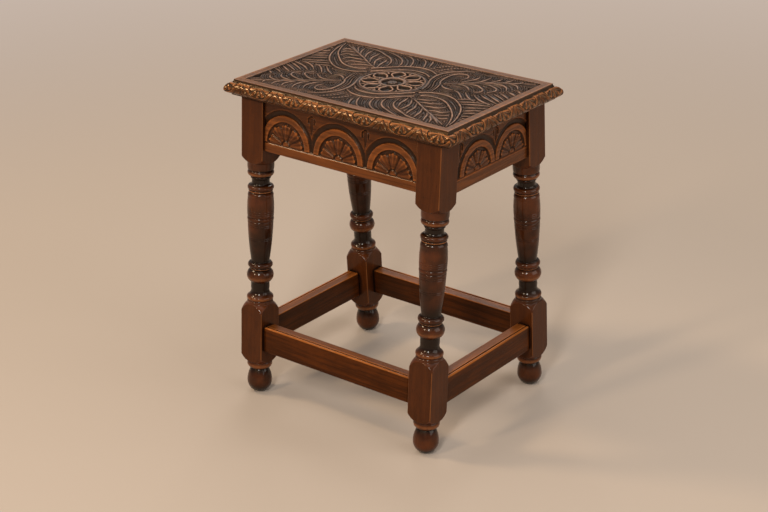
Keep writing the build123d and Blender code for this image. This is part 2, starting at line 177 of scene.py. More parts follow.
def node_group(name, inputs, outputs):
    """Shader group with its sockets and nothing between them, as (group, group in, group out)."""
    group = bpy.data.node_groups.new(name, "ShaderNodeTree")
    for socket_name, socket_type, value in inputs:
        socket = group.interface.new_socket(socket_name, in_out="INPUT", socket_type=socket_type)
        socket.default_value = value
    for socket_name, socket_type in outputs:
        group.interface.new_socket(socket_name, in_out="OUTPUT", socket_type=socket_type)
    group_in = group.nodes.new("NodeGroupInput")
    group_out = group.nodes.new("NodeGroupOutput")
    return group, group_in, group_out


def tint(tree, factor, first, second):
    """Mix of two colours, as an output socket. The node keeps its colour sockets at 6 and 7."""
    node = add_node(tree, "ShaderNodeMix", {"data_type": "RGBA"})
    for place, value in ((0, factor), (6, first), (7, second)):
        wire(tree, value, node.inputs[place])
    return node.outputs[2]


# Oak figure: long streaks along the grain and short open pores. The stretch says how often the
# streaks repeat in a metre along each axis, so the smallest number is along the grain.
figure, figure_in, figure_out = node_group(
    "oak_figure",
    [("Stretch", "NodeSocketVector", (8, 160, 160)),
     ("Pore Stretch", "NodeSocketVector", (90, 1500, 1500))],
    [("Streaks", "NodeSocketFloat"), ("Pores", "NodeSocketFloat"), ("Blotches", "NodeSocketFloat")])
place_in_wood = add_node(figure, "ShaderNodeTexCoord").outputs["Object"]


def stretched(stretch_name):
    """Places in the wood, drawn out by one of the group's stretches."""
    node = add_node(figure, "ShaderNodeVectorMath", {"operation": "MULTIPLY"})
    wire(figure, place_in_wood, node.inputs[0])
    wire(figure, figure_in.outputs[stretch_name], node.inputs[1])
    return node.outputs[0]


def mottle(output_name, low, high, **noise):
    """One output of the figure: a noise, its values between low and high stretched to 0 to 1."""
    values = add_node(figure, "ShaderNodeTexNoise", **noise).outputs["Fac"]
    wire(figure, spread(figure, values, low, high), figure_out.inputs[output_name])


mottle("Streaks", 0.34, 0.68, Scale=1, Detail=5, Roughness=0.62, Distortion=0.35, Vector=stretched("Stretch"))
mottle("Pores", 0.56, 0.72, Scale=1, Detail=2, Roughness=0.5, Vector=stretched("Pore Stretch"))
mottle("Blotches", 0.32, 0.7, Scale=22, Detail=3, Roughness=0.6, Vector=place_in_wood)

# Old wax and dirt, and painted shade: the group darkens places where other wood stands close by, from an
# occlusion mask.
wax_shade, wax_shade_in, wax_shade_out = node_group(
    "wax_and_painted_shade",
    [("Reach", "NodeSocketFloat", 0.006)],
    [("Wax And Shade", "NodeSocketFloat")])
closeness = add_node(wax_shade, "ShaderNodeAmbientOcclusion", {"samples": 8})
wire(wax_shade, wax_shade_in.outputs["Reach"], closeness.inputs["Distance"])
wire(wax_shade, spread(wax_shade, closeness.outputs["AO"], 0.92, 0.35), wax_shade_out.inputs["Wax And Shade"])


def placed(tree, group, **values):
    """A shader group placed in a material with its own values."""
    return add_node(tree, "ShaderNodeGroup", {"node_tree": group}, **values)


def mask(tree, name):
    """Values of a mask that the meshes carry at their points."""
    return add_node(tree, "ShaderNodeAttribute", {"attribute_name": name}).outputs["Fac"]


# Every mesh of oak has a crest mask. It stands at EVEN_CREST on plain faces, rises to 1 where the
# wood is rubbed bare, and falls to 0 in hollows, which are painted dark with old wax and shade from WAX_FROM
# down to WAX_FULL.
EVEN_CREST = 0.5
WAX_FROM = 0.48
WAX_FULL = 0.1
WAX_AND_SHADE_COVER = 0.85
WAX_DULLS = 0.18
BLOTCH_COVER = 0.4
PORE_COVER = 0.6
PORE_SHADE = 0.35
STREAKS_DULL = 0.1
# Colour of old wax, also painted as shade into hollows and where parts stand close.
OLD_WAX_AND_SHADE = (0.0075, 0.0042, 0.003, 1)
TURNED_STAIN = (0.007, 0.0026, 0.0012, 1)
THIN_STAIN = (0.17, 0.04, 0.009, 1)
TURNED_COAT = 0.4
COAT_TINT = (1, 0.93, 0.84, 1)


def waxed_oak(name, dark, light, worn, stretch, pore_stretch, roughness=0.34, rub=0.8, bare_from=0.56,
              bare_to=0.92, coat=0.14, coat_roughness=0.14, shine=0.12, shine_tint=(1, 0.82, 0.6, 1),
              wax_shade_reach=0.007, turned=False, figure_strength=1.0):
    """Stained and waxed oak. Its colour runs from dark to light with the figure, is rubbed pale
    on the crests, and is painted near black in the hollows with old wax and shade. Turned wood is darkest
    where it is thin, and red shows through the stain on its thick parts."""
    material = bpy.data.materials.new(name)
    material.use_nodes = True
    tree = material.node_tree
    wood = placed(tree, figure, Stretch=stretch, Pore_Stretch=pore_stretch)
    blotches = wood.outputs["Blotches"]
    streaks = spread(tree, wood.outputs["Streaks"], 0, 1, 0.5 - 0.5 * figure_strength,
                     0.5 + 0.5 * figure_strength)
    crest = mask(tree, "crest")
    # Old wax and painted shade: the occlusion mask, and hollows where the crest mask is low, darken the
    # colour towards the old wax colour.
    wax_and_shade = calculate(tree, "MAXIMUM", placed(tree, wax_shade, Reach=wax_shade_reach).outputs["Wax And Shade"],
                    spread(tree, crest, WAX_FROM, WAX_FULL))
    colour = tint(tree, streaks, dark, light)
    colour = tint(tree, calculate(tree, "MULTIPLY", blotches, BLOTCH_COVER), colour, dark)
    pore_colour = (*(part * PORE_SHADE for part in dark[:3]), 1)
    colour = tint(tree, calculate(tree, "MULTIPLY", wood.outputs["Pores"], PORE_COVER), colour, pore_colour)
    if turned:
        stained = calculate(tree, "ADD", mask(tree, "tone"), calculate(tree, "MULTIPLY", blotches, 0.45))
        colour = tint(tree, spread(tree, stained, 0.34, 1.3), TURNED_STAIN, colour)
        thick = calculate(tree, "MULTIPLY", mask(tree, "turned"), mask(tree, "tone"))
        thin_stain = spread(tree, blotches, -0.8, 1.8, 0, 0.65)
        colour = tint(tree, calculate(tree, "MULTIPLY", thick, thin_stain), colour, THIN_STAIN)
    uneven = spread(tree, wood.outputs["Streaks"], 0, 1, 0.6, 1)
    bare = calculate(tree, "MULTIPLY", spread(tree, crest, bare_from, bare_to, 0, rub), uneven)
    bare = calculate(tree, "MULTIPLY", bare, calculate(tree, "SUBTRACT", 1, wax_and_shade, True))
    colour = tint(tree, bare, colour, worn)
    colour = tint(tree, calculate(tree, "MULTIPLY", wax_and_shade, WAX_AND_SHADE_COVER), colour, OLD_WAX_AND_SHADE)
    shader = tree.nodes["Principled BSDF"]
    wire(tree, colour, shader.inputs["Base Color"])
    dull = calculate(tree, "MULTIPLY", streaks, STREAKS_DULL)
    dull = calculate(tree, "ADD", dull, roughness - STREAKS_DULL / 2)
    dull = calculate(tree, "ADD", dull, calculate(tree, "MULTIPLY", wax_and_shade, WAX_DULLS))
    wire(tree, dull, shader.inputs["Roughness"])
    shader.inputs["Specular IOR Level"].default_value = shine
    shader.inputs["Specular Tint"].default_value = shine_tint
    shader.inputs["Coat Weight"].default_value = coat
    if turned:
        wire(tree, spread(tree, mask(tree, "turned"), 0, 1, coat, TURNED_COAT), shader.inputs["Coat Weight"])
    shader.inputs["Coat Roughness"].default_value = coat_roughness
    shader.inputs["Coat Tint"].default_value = COAT_TINT
    grain_height = calculate(tree, "SUBTRACT", calculate(tree, "MULTIPLY", wood.outputs["Streaks"], 0.3),
                             wood.outputs["Pores"])
    bump = add_node(tree, "ShaderNodeBump", Strength=0.25, Distance=0.0003, Height=grain_height)
    wire(tree, bump.outputs["Normal"], shader.inputs["Normal"])
    return material


def sheet_faces(rows, cols, closed=False):
    """Quads of a grid of points that is stored row by row. A closed grid joins its last column
    to its first."""
    first = np.arange(cols if closed else cols - 1)
    following = (first + 1) % cols
    row = np.arange(rows - 1)[:, None] * cols
    corners = [row + first, row + following, row + cols + following, row + cols + first]
    return np.stack(corners, -1).reshape(-1, 4)


def skin(solid, rings):
    """Faces between rings of equally many points, from each ring to the next."""
    for first, second in zip(rings, rings[1:]):
        for k in range(len(first)):
            solid.faces.new((first[k - 1], first[k], second[k], second[k - 1]))


def mesh_piece(name, points, faces, material, node_name, slot="oak_frame", uv=None, **masks):
    """Object from points in metres and faces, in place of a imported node. Masks are values from
    0 to 1 at each point that its material reads by name."""
    mesh = bpy.data.meshes.new(name)
    mesh.from_pydata(points.tolist(), [], faces.tolist() if hasattr(faces, "tolist") else faces)
    mesh.polygons.foreach_set("use_smooth", [True] * len(mesh.polygons))
    for mask_name, values in masks.items():
        attribute = mesh.attributes.new(mask_name, "FLOAT", "POINT")
        attribute.data.foreach_set("value", np.clip(values, 0, 1).astype(np.float32).ravel())
    if uv is not None:
        layer = mesh.uv_layers.new(name="OFBake")
        corner_points = np.empty(len(mesh.loops), int)
        mesh.loops.foreach_get("vertex_index", corner_points)
        layer.data.foreach_set("uv", uv[corner_points].astype(np.float32).ravel())
    mesh.update()
    stand_in(mesh, material, node_name)


def flat_piece(name, solid, material, node_name):
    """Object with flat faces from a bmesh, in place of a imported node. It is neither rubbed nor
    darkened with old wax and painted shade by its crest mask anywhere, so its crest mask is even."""
    mesh = bpy.data.meshes.new(name)
    solid.to_mesh(mesh)
    solid.free()
    attribute = mesh.attributes.new("crest", "FLOAT", "POINT")
    attribute.data.foreach_set("value", [EVEN_CREST] * len(mesh.vertices))
    stand_in(mesh, material, node_name)


def stand_in(mesh, material, node_name):
    """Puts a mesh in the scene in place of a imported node."""
    mesh.materials.append(material)
    piece = bpy.data.objects.new(mesh.name, mesh)
    bpy.context.collection.objects.link(piece)
    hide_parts(node_name)
    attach(piece, "root")


def arc_points(start, end, swell, count):
    """Points along an arc that stands out to the left of the line between two points."""
    start, end = np.array(start, float), np.array(end, float)
    chord = end - start
    half = np.linalg.norm(chord) / 2
    if not swell:
        return start + np.linspace(0, 1, count)[:, None] * chord
    radius = (half ** 2 + swell ** 2) / (2 * swell)
    outwards = np.array([-chord[1], chord[0]]) / (2 * half)
    centre = (start + end) / 2 - outwards * (radius - swell)
    angle = math.asin(half / radius)
    sweep = np.linspace(-angle, angle, count)
    along_chord = chord / (2 * half)
    return centre + radius * (np.cos(sweep)[:, None] * outwards + np.sin(sweep)[:, None] * along_chord)


UPRIGHT_GRAIN = (150, 150, 7)
UPRIGHT_PORES = (1400, 1400, 80)
LEG_DARK = (0.04, 0.0105, 0.003, 1)
LEG_LIGHT = (0.105, 0.028, 0.006, 1)
LEG_WORN_AND_REFLECTION = (0.34, 0.12, 0.035, 1)
LEAN = math.radians(3.67)
LEG_X_MM = 172.5
LEG_FOOT_Y_MM = 146.0445
LEG_HALF_MM = 22.0
UNDERSIDE_MM = 508.0
UPPER_BLOCK_FOOT_MM = 409.0
LOWER_BLOCK_MM = (69.5, 142.5)
BALL_HEIGHT_MM = 19.7
BALL_RADIUS_MM = 20.5
BLOCK_RADIUS_MM = 31.46
WORN_ARRIS_MM = 30.6
ROW_MM = 0.8
BLOCK_ROW_MM = 6.0
# Lines scored round the vase, by height, and the shape of one.
SCORED_MM = (270.0, 273.0, 292.5, 295.5, 312.5, 315.5, 319.0)
SCORE_HALF_MM = 0.8
SCORE_FLOOR_HALF_MM = 0.3
SCORE_DEPTH_MM = 0.5
# Rings and beads where the stain is rubbed through, as (height, half height). The band at 203 mm,
# on the lower half of the bulb, is a painted reflection of the warm floor.
RUBBED_AND_REFLECTION_MM = ((49.0, 4.0), (168.0, 2.6), (203.0, 4.0), (219.0, 1.2), (351.8, 1.2), (381.0, 2.6))
RUBBED_ARRIS_MM = 0.9
CUT_EDGE_MM = 0.7

# The turning from the ball foot up, as (rise, radius, swell) in millimetres.
FOOT_TURNING = [(22.6, 14.4, 1.4), (0.8, 16.4, 0), (11.8, 19.4, 2.7), (0.4, 20.2, 0),
                (14.0, BLOCK_RADIUS_MM, 1.6)]
LOWER_TURNING = [(16.0, 21.2, 1.6), (4.2, 21.0, 0), (0.7, 20.0, 0), (0.9, 20.0, 0), (0.6, 20.7, 0),
                 (6.4, 20.5, 1.2), (0.8, 19.4, 0), (12.2, 15.2, -1.9), (11.0, 15.2, 0), (1.0, 16.8, 0),
                 (20.7, 16.8, 5.1), (0.5, 15.8, 0), (0.4, 17.4, 0), (1.7, 17.4, 0), (0.5, 16.6, 0),
                 (9.6, 16.4, 3.8), (0.7, 14.8, 0)]
VASE_TURNING = [(69.2, 20.9, 1.0), (1.2, 20.2, 0), (1.2, 21.2, 0), (4.2, 21.2, 0.4), (1.2, 20.2, 0),
                (1.2, 21.3, 0), (33.0, 20.6, 0.75), (8.5, 17.2, 1.6)]
UPPER_TURNING = [(0.5, 19.6, 0), (1.8, 19.6, 0), (0.5, 18.2, 0), (8.2, 17.2, 3.6), (4.2, 14.4, -0.8),
                 (5.8, 14.4, 0), (0.5, 15.4, 0), (4.4, 15.4, 1.1), (0.8, 18.4, 0), (9.4, 19.0, 2.7),
                 (0.9, 19.0, 0), (0.7, 21.2, 0), (11.7, 21.5, 0.3), (10.0, BLOCK_RADIUS_MM, 0.5)]


def turned_rows():
    """Places along the leg's axis and the turning's radius there, from the floor to the top."""
    block_heights = [height / math.cos(LEAN) for height in (*LOWER_BLOCK_MM, UPPER_BLOCK_FOOT_MM)]
    vase_rise = block_heights[2] - block_heights[1] - sum(step[0] for step in LOWER_TURNING + UPPER_TURNING)
    stretch = vase_rise / sum(step[0] for step in VASE_TURNING)
    vase = [(rise * stretch, radius, swell) for rise, radius, swell in VASE_TURNING]
    pear = block_heights[0] - BALL_HEIGHT_MM - sum(step[0] for step in FOOT_TURNING[1:])
    foot = [(pear, *FOOT_TURNING[0][1:])] + FOOT_TURNING[1:]
    lower_block = [(block_heights[1] - block_heights[0], BLOCK_RADIUS_MM, 0)]
    upper_block = [(UNDERSIDE_MM + 6 - block_heights[2], BLOCK_RADIUS_MM, 0)]
    turn = np.radians(np.linspace(90, 0, 24, endpoint=False))
    below = np.column_stack([BALL_RADIUS_MM * np.cos(turn), BALL_HEIGHT_MM - BALL_RADIUS_MM * np.sin(turn)])
    rows = [below]
    here = np.array([BALL_RADIUS_MM, BALL_HEIGHT_MM])
    for rise, radius, swell in foot + lower_block + LOWER_TURNING + vase + UPPER_TURNING + upper_block:
        there = np.array([radius, here[1] + rise])
        spacing = BLOCK_ROW_MM if here[0] == radius == BLOCK_RADIUS_MM else ROW_MM
        count = max(2, int(np.linalg.norm(there - here) / spacing) + 1)
        rows.append(arc_points(here, there, -swell, count + 1)[:-1])
        here = there
    rows.append(here[None])
    return np.vstack(rows)


def square_reach(angle):
    """How far a square block with worn arrises reaches from its middle in a direction."""
    folded = np.abs((angle + math.pi / 4) % (math.pi / 2) - math.pi / 4)
    return np.minimum(LEG_HALF_MM / np.cos(folded), WORN_ARRIS_MM / np.cos(math.pi / 4 - folded))


turning = turned_rows()
for scored in SCORED_MM:
    nick_heights = scored + np.array([-SCORE_HALF_MM, -SCORE_FLOOR_HALF_MM,
                                      SCORE_FLOOR_HALF_MM, SCORE_HALF_MM])
    nick = np.interp(nick_heights, turning[:, 1], turning[:, 0]) - (0, SCORE_DEPTH_MM, SCORE_DEPTH_MM, 0)
    turning = turning[np.abs(turning[:, 1] - scored) > SCORE_HALF_MM]
    place = np.searchsorted(turning[:, 1], scored)
    turning = np.insert(turning, place, np.column_stack([nick, nick_heights]), axis=0)
# Columns of points stand close together at the arrises of the blocks, and wide on their faces.
from_arris = np.radians([0, 0.5, 1.0, 1.6, 2.4, 4, 7, 10, 13.5, 17, 21, 25, 29, 33, 37, 41])
quarter_turns = np.concatenate([-from_arris[:0:-1], from_arris, [math.pi / 4]])
leg_angles = np.concatenate([quarter_turns + math.pi / 4 + quarter * math.pi / 2 for quarter in range(4)])
radius_of_turning, up_axis = turning[:, :1], turning[:, 1:]
reach = square_reach(leg_angles)[None, :]
leg_radius = np.minimum(radius_of_turning, reach)

# The crest mask of a leg. Proud is how far the turning stands out from its own mean over a few
# millimetres up and down.
even_heights = np.arange(0, up_axis[-1, 0], 0.5)
even_radius = np.interp(even_heights, up_axis[:, 0], radius_of_turning[:, 0])
window = np.hanning(9)
mean_radius = np.convolve(np.pad(even_radius, len(window) // 2, mode="edge"), window / window.sum(), "valid")
proud = np.interp(up_axis[:, 0], even_heights, even_radius - mean_radius)[:, None]
off_block = np.clip((reach - radius_of_turning) / 0.6, 0, 1)
off_arris = np.abs((leg_angles[None, :] % (math.pi / 2)) - math.pi / 4) * WORN_ARRIS_MM
block_arris = np.exp(-(off_arris / RUBBED_ARRIS_MM) ** 2) * (1 - off_block)
cut_edge = np.exp(-((reach - radius_of_turning) / CUT_EDGE_MM) ** 2) * (radius_of_turning < WORN_ARRIS_MM)
# Rubbed rings, and the painted floor reflection on the bulb, raise the crest.
rubbed_and_reflection = sum(np.exp(-((up_axis - height) / half) ** 2) for height, half in RUBBED_AND_REFLECTION_MM)
leg_crest = EVEN_CREST + off_block * (0.4 * proud + 0.24 * rubbed_and_reflection) + 0.3 * block_arris + 0.08 * cut_edge

# The tone mask says how pale a turned part is: it is lower where the turning is thin, and a little higher
# below the lower block.
leg_tone = np.clip((radius_of_turning - 15.0) / 8.0, 0, 1) * np.where(up_axis < LOWER_BLOCK_MM[0], 1.0, 0.75)
leg_tone = np.where(off_block > 0.5, leg_tone, 1.0)

leg_oak = waxed_oak("turned_oak", LEG_DARK, LEG_LIGHT, LEG_WORN_AND_REFLECTION, UPRIGHT_GRAIN, UPRIGHT_PORES, roughness=0.3,
                    coat_roughness=0.07, wax_shade_reach=0.012, turned=True, figure_strength=0.35)
across_x = leg_radius * np.cos(leg_angles)
across_y = leg_radius * np.sin(leg_angles)
top_of_axis = (UNDERSIDE_MM + across_y * math.sin(LEAN)) / math.cos(LEAN)
block_start = UPPER_BLOCK_FOOT_MM / math.cos(LEAN)
share_up = np.clip((up_axis - block_start) / (up_axis[-1, 0] - block_start), 0, 1)
up_leg = np.where(share_up > 0, block_start + share_up * (top_of_axis - block_start), up_axis + 0 * across_x)
leg_points = np.dstack([
    LEG_X_MM + across_x,
    -LEG_FOOT_Y_MM + across_y * math.cos(LEAN) + up_leg * math.sin(LEAN),
    np.maximum(up_leg * math.cos(LEAN) - across_y * math.sin(LEAN), 0)]).reshape(-1, 3)
leg_rows, leg_cols = leg_radius.shape
leg_quads = sheet_faces(leg_rows, leg_cols, closed=True)
leg_caps = [list(range(leg_cols))[::-1], list(range((leg_rows - 1) * leg_cols, leg_rows * leg_cols))]
leg_uv = np.dstack(np.broadcast_arrays(np.linspace(0, 0.3, leg_cols)[None, :], up_leg / 520)).reshape(-1, 2)
for leg_name in LEG_NODES:
    flip = (-1 if "left" in leg_name else 1, -1 if "back" in leg_name else 1)
    faces = leg_quads.tolist() + leg_caps
    if flip[0] * flip[1] < 0:
        faces = [face[::-1] for face in faces]
    mesh_piece("turned_" + leg_name, leg_points * (*flip, 1) * MM, faces, leg_oak, leg_name, uv=leg_uv,
               crest=leg_crest, tone=leg_tone + 0 * leg_crest, turned=off_block)


# ---- Stretchers. Four straight rails tenoned low between the legs, with a bead along the outer
# top arris. Feet have rubbed the finish off their upper edges.
ALONG_X_GRAIN = (7, 150, 150)
ALONG_X_PORES = (80, 1400, 1400)
ALONG_Y_GRAIN = (150, 7, 150)
ALONG_Y_PORES = (1400, 80, 1400)
RAIL_FACE_MM = 17.0
RAIL_THICKNESS_MM = 22.0
SIDE_FACE_X_MM = 189.5
LONG_HALF_MM = 150.5
LONG_STRETCHER_MM = (81.0, 124.0)
SIDE_STRETCHER_MM = (76.5, 120.5)
RAIL_DARK = (0.028, 0.0066, 0.0008, 1)
RAIL_LIGHT = (0.1, 0.024, 0.003, 1)
RAIL_WORN = (0.42, 0.13, 0.026, 1)
RAIL_STATIONS = 41
RAIL_UV_MM = 320


def oak_both_ways(name, *colours, **finish):
    """The same oak for long and for short rails, its grain along X and along Y."""
    return (waxed_oak(name + "_long", *colours, ALONG_X_GRAIN, ALONG_X_PORES, **finish),
            waxed_oak(name + "_short", *colours, ALONG_Y_GRAIN, ALONG_Y_PORES, **finish))


def front_point(along_mm, up_mm, depth_mm):
    """Point of a front rail, whose face leans with the legs. Depth runs in from its outer face."""
    back = depth_mm - RAIL_FACE_MM
    return np.column_stack([along_mm, -LEG_FOOT_Y_MM + back * math.cos(LEAN) + up_mm * math.sin(LEAN),
                            up_mm * math.cos(LEAN) - back * math.sin(LEAN)])


def side_point(along_mm, up_mm, depth_mm):
    """Point of a right-hand rail, whose face is upright."""
    return np.column_stack([SIDE_FACE_X_MM - depth_mm, along_mm, up_mm])


def long_half(up_mm):
    """The long rails run straight between the legs."""
    return LONG_HALF_MM + 0 * up_mm


def short_half(up_mm):
    """The short rails' ends are raked with the legs."""
    return LEG_FOOT_Y_MM - up_mm * math.tan(LEAN) - LEG_HALF_MM / math.cos(LEAN)


def stretcher_line(height):
    """Section of a stretcher as (depth, height, crest) round from its outer foot: eased arrises,
    a bead along the outer top arris and a quirk behind it. The inner face has a low crest, so it is
    painted darker, as less rubbed wood and as shade on the side turned in under the stool."""
    back = RAIL_THICKNESS_MM
    return np.array([
        (0, 0.8, 0.62), (0, 3, 0.5), (0, 12, 0.5), (0, height - 12, 0.5), (0, height - 5, 0.53),
        (0, height - 2.6, 0.62), (0.25, height - 1.4, 0.85), (0.8, height - 0.55, 0.98),
        (1.8, height - 0.05, 0.98), (3.0, height - 0.05, 0.9), (3.9, height - 0.3, 0.75),
        (4.4, height - 1.0, 0.3), (4.9, height - 1.9, 0), (5.5, height - 1.9, 0),
        (5.8, height - 0.8, 0.45), (6.0, height, 0.9), (6.8, height, 0.8), (9.0, height, 0.72),
        (13, height, 0.7), (back - 3, height, 0.7), (back - 1.4, height, 0.76),
        (back - 0.5, height - 0.2, 0.85), (back, height - 0.9, 0.7), (back, height - 3, 0.36),
        (back, 3, 0.33), (back, 0.8, 0.5), (back - 0.8, 0, 0.6), (back - 3, 0, 0.5),
        (3, 0, 0.5), (0.8, 0, 0.6)])


def stretcher(name, node_name, low_mm, high_mm, half_length, place_point, material, turned):
    """One stretcher between two legs."""
    section = stretcher_line(high_mm - low_mm)
    stations = np.linspace(-1, 1, RAIL_STATIONS)
    count = len(section)
    up = np.tile(section[:, 1] + low_mm, len(stations))
    depth = np.tile(section[:, 0], len(stations))
    along = np.repeat(stations, count) * half_length(up)
    points = place_point(along, up, depth) * MM
    if turned:
        points[:, :2] *= -1
    faces = sheet_faces(len(stations), count, closed=True)[:, ::-1].tolist()
    faces += [list(range(count)), list(range((len(stations) - 1) * count, len(stations) * count))[::-1]]
    run_round = np.concatenate([[0], np.cumsum(np.linalg.norm(np.diff(section[:, :2], axis=0), axis=1))])
    uv = np.column_stack([along / RAIL_UV_MM + 0.5, np.tile(run_round, len(stations)) / RAIL_UV_MM])
    mesh_piece(name, points, faces, material, node_name, uv=uv, crest=np.tile(section[:, 2], len(stations)))


rail_oak_x, rail_oak_y = oak_both_ways("rail_oak", RAIL_DARK, RAIL_LIGHT, RAIL_WORN, rub=0.9, coat=0.06,
                                       shine=0.1, figure_strength=0.7)
long_stretcher_up = [height / math.cos(LEAN) for height in LONG_STRETCHER_MM]
for turned, long_name, short_name in ((False, "front", "right"), (True, "back", "left")):
    stretcher("rail_" + long_name, "stretcher_" + long_name, *long_stretcher_up, long_half, front_point,
              rail_oak_x, turned)
    stretcher("rail_" + short_name, "stretcher_" + short_name, *SIDE_STRETCHER_MM, short_half, side_point,
              rail_oak_y, turned)


# ---- Top board, upper side. One wide oak board with a plain border round a sunk field, carved
# with a rosette, two straps and leaves. One half of the pattern is the other turned half round.
TOP_MM = 533.0
FLAT_MM = (415.0, 275.0)
FIELD_MM = (390.0, 250.0)
BORDER_MM = 12.5
FIELD_SPACING_MM = 0.7
GROUND_MM = -4.4
CREST_MM = -0.4
BEAD_DEPTH_MM = 1.0
THIN_END_DROP_MM = 1.4
THIN_END_SHARE = 0.3
ECHO_REACH_MM = 15.0


def smooth_line(points, step=1.5):
    """Close points along a smooth curve through the few that are given."""
    knots = np.array(points, float)
    ends = np.vstack([2 * knots[0] - knots[1], knots, 2 * knots[-1] - knots[-2]])
    line = []
    for i in range(len(knots) - 1):
        p0, p1, p2, p3 = ends[i:i + 4]
        count = max(2, int(np.linalg.norm(p2 - p1) / step))
        for t in np.linspace(0, 1, count, endpoint=False):
            bend = (2 * p0 - 5 * p1 + 4 * p2 - p3) * t ** 2 + (3 * p1 - p0 - 3 * p2 + p3) * t ** 3
            line.append(p1 + 0.5 * ((p2 - p0) * t + bend))
    return np.array(line + [knots[-1]])


def midway(first, second):
    """Line that runs halfway between two lines."""
    count = 30
    rows = [line[np.linspace(0, len(line) - 1, count).astype(int)] for line in (first, second)]
    return (rows[0] + rows[1]) / 2


class Carving:
    """Heights over a rectangle, cut stroke by stroke. Ground is the floor of the hollows, and gap
    the distance to the nearest stroke."""

    def __init__(self, low, high, spacing, ground):
        self.x = np.linspace(low[0], high[0], int((high[0] - low[0]) / spacing) + 1)
        self.y = np.linspace(low[1], high[1], int((high[1] - low[1]) / spacing) + 1)
        self.ground = ground
        self.z = np.full((len(self.y), len(self.x)), float(ground))
        self.gap = np.full(self.z.shape, ECHO_REACH_MM)

    def around(self, line, reach):
        """Part of the grid near a line: its index, distances to the line, places along it."""
        low, high = line.min(0) - reach, line.max(0) + reach
        cols = slice(*np.searchsorted(self.x, (low[0], high[0])))
        rows = slice(*np.searchsorted(self.y, (low[1], high[1])))
        x, y = np.meshgrid(self.x[cols], self.y[rows])
        nearest = np.full(x.shape, 1e9)
        place = np.zeros(x.shape)
        for i in range(len(line) - 1):
            a, ab = line[i], line[i + 1] - line[i]
            t = np.clip(((x - a[0]) * ab[0] + (y - a[1]) * ab[1]) / max(ab @ ab, 1e-9), 0, 1)
            distance = np.hypot(x - a[0] - t * ab[0], y - a[1] - t * ab[1])
            closer = distance < nearest
            nearest[closer] = distance[closer]
            place[closer] = (i + t[closer]) / (len(line) - 1)
        return (rows, cols), nearest, place

    def ridge(self, line, crest=CREST_MM, flat=0.5, skirt=5.0, hollow=1.7, ends=(0.5, 0.5), beads=0):
        """Raised line between two scooped flanks. Its ends thin out, and beads notch its crest."""
        index, distance, place = self.around(line, ECHO_REACH_MM)
        self.gap[index] = np.minimum(self.gap[index], distance)
        thin = np.minimum(ends[0] + (1 - ends[0]) * np.clip(place / THIN_END_SHARE, 0, 1),
                          ends[1] + (1 - ends[1]) * np.clip((1 - place) / THIN_END_SHARE, 0, 1))
        fall = np.clip((distance - flat * thin) / skirt, 0, 1)
        notches = (0.5 - 0.5 * np.cos(2 * math.pi * beads * place)) ** 2
        top = crest - (1 - thin) * THIN_END_DROP_MM - notches * BEAD_DEPTH_MM
        self.z[index] = np.maximum(self.z[index], self.ground + (top - self.ground) * (1 - fall) ** hollow)

    def sink(self, line, half_width, slope=1.2):
        """Cuts everything beside a line down to the ground, ready for other strokes."""
        index, distance, _ = self.around(line, half_width + slope)
        share = np.clip((half_width + slope - distance) / slope, 0, 1)
        here = self.z[index]
        self.z[index] = here + (self.ground - here) * share
        self.gap[index] = np.where(share > 0.5, ECHO_REACH_MM, self.gap[index])


def softened(heights, passes):
    """Heights averaged over their neighbours a number of times."""
    for _ in range(passes):
        padded = np.pad(heights, 1, mode="edge")
        heights = (padded[:-2, 1:-1] + padded[2:, 1:-1] + padded[1:-1, :-2] + padded[1:-1, 2:]) / 4
    return heights


# The strokes of one half of the field, each as a few places that a smooth line runs through.
CRESCENTS = [
    [(-150, 121), (-120, 116), (-107, 111), (-94, 104), (-81, 97.5), (-72, 90), (-65, 81), (-61, 72),
     (-58, 60)],
    [(-100, 121), (-87, 116.5), (-75, 111), (-64, 105), (-55, 97.5), (-48, 88), (-44, 79), (-41, 66)],
    [(-66, 122), (-55, 118.5), (-46, 113), (-38, 105), (-32, 95), (-28, 86), (-26, 78)],
    [(-33, 123), (-25, 119), (-17, 110), (-11, 100), (-7, 92), (-4, 84)],
    [(-12, 123), (-7, 115), (-3, 106), (0, 97)],
]
ROPES = [
    [(52, 121), (43, 114), (34, 105), (28, 95), (24, 83)],
    [(34, 121), (24, 113), (16, 104), (11, 94), (8, 85)],
]
LEAF_RIB = [(-189, 120), (-164, 104), (-138, 87.5), (-120, 76), (-100, 62), (-81, 49), (-61, 40)]
LEAF_UPPER = [
    [(-171, 114), (-158, 103), (-145, 94)],
    [(-158, 117), (-154, 107), (-146, 98), (-140, 90)],
    [(-146, 115), (-142, 105), (-138, 95), (-130, 84)],
    [(-127, 114), (-125, 104), (-122, 90), (-113, 73)],
    [(-108, 107), (-105.5, 95), (-103, 79), (-93, 60)],
    [(-88, 96), (-90, 84), (-87, 68), (-76, 50)],
    [(-78, 86), (-73, 75), (-71, 62), (-66, 45)],
]
LEAF_LOWER = [
    [(-156, 97), (-166, 95), (-172, 86)],
    [(-141, 88), (-152, 86), (-161, 82), (-164, 73)],
    [(-124, 77), (-137, 73), (-147, 73.5), (-154, 67), (-155, 60)],
    [(-106, 65), (-120, 62), (-130, 60.5), (-137, 55), (-139, 46)],
    [(-90, 55), (-103, 51), (-115, 48.5), (-123, 43), (-125, 35)],
    [(-76, 46), (-90, 43), (-101, 38), (-108, 31)],
]
STRAP_OUTER = [(-189, 108), (-184, 88), (-174.5, 65), (-165.5, 48), (-153, 32), (-140, 20.5), (-131, 13.5),
               (-120, 8), (-107, 4.5), (-94, 4.5), (-81, 7.5), (-70, 14), (-60, 23)]
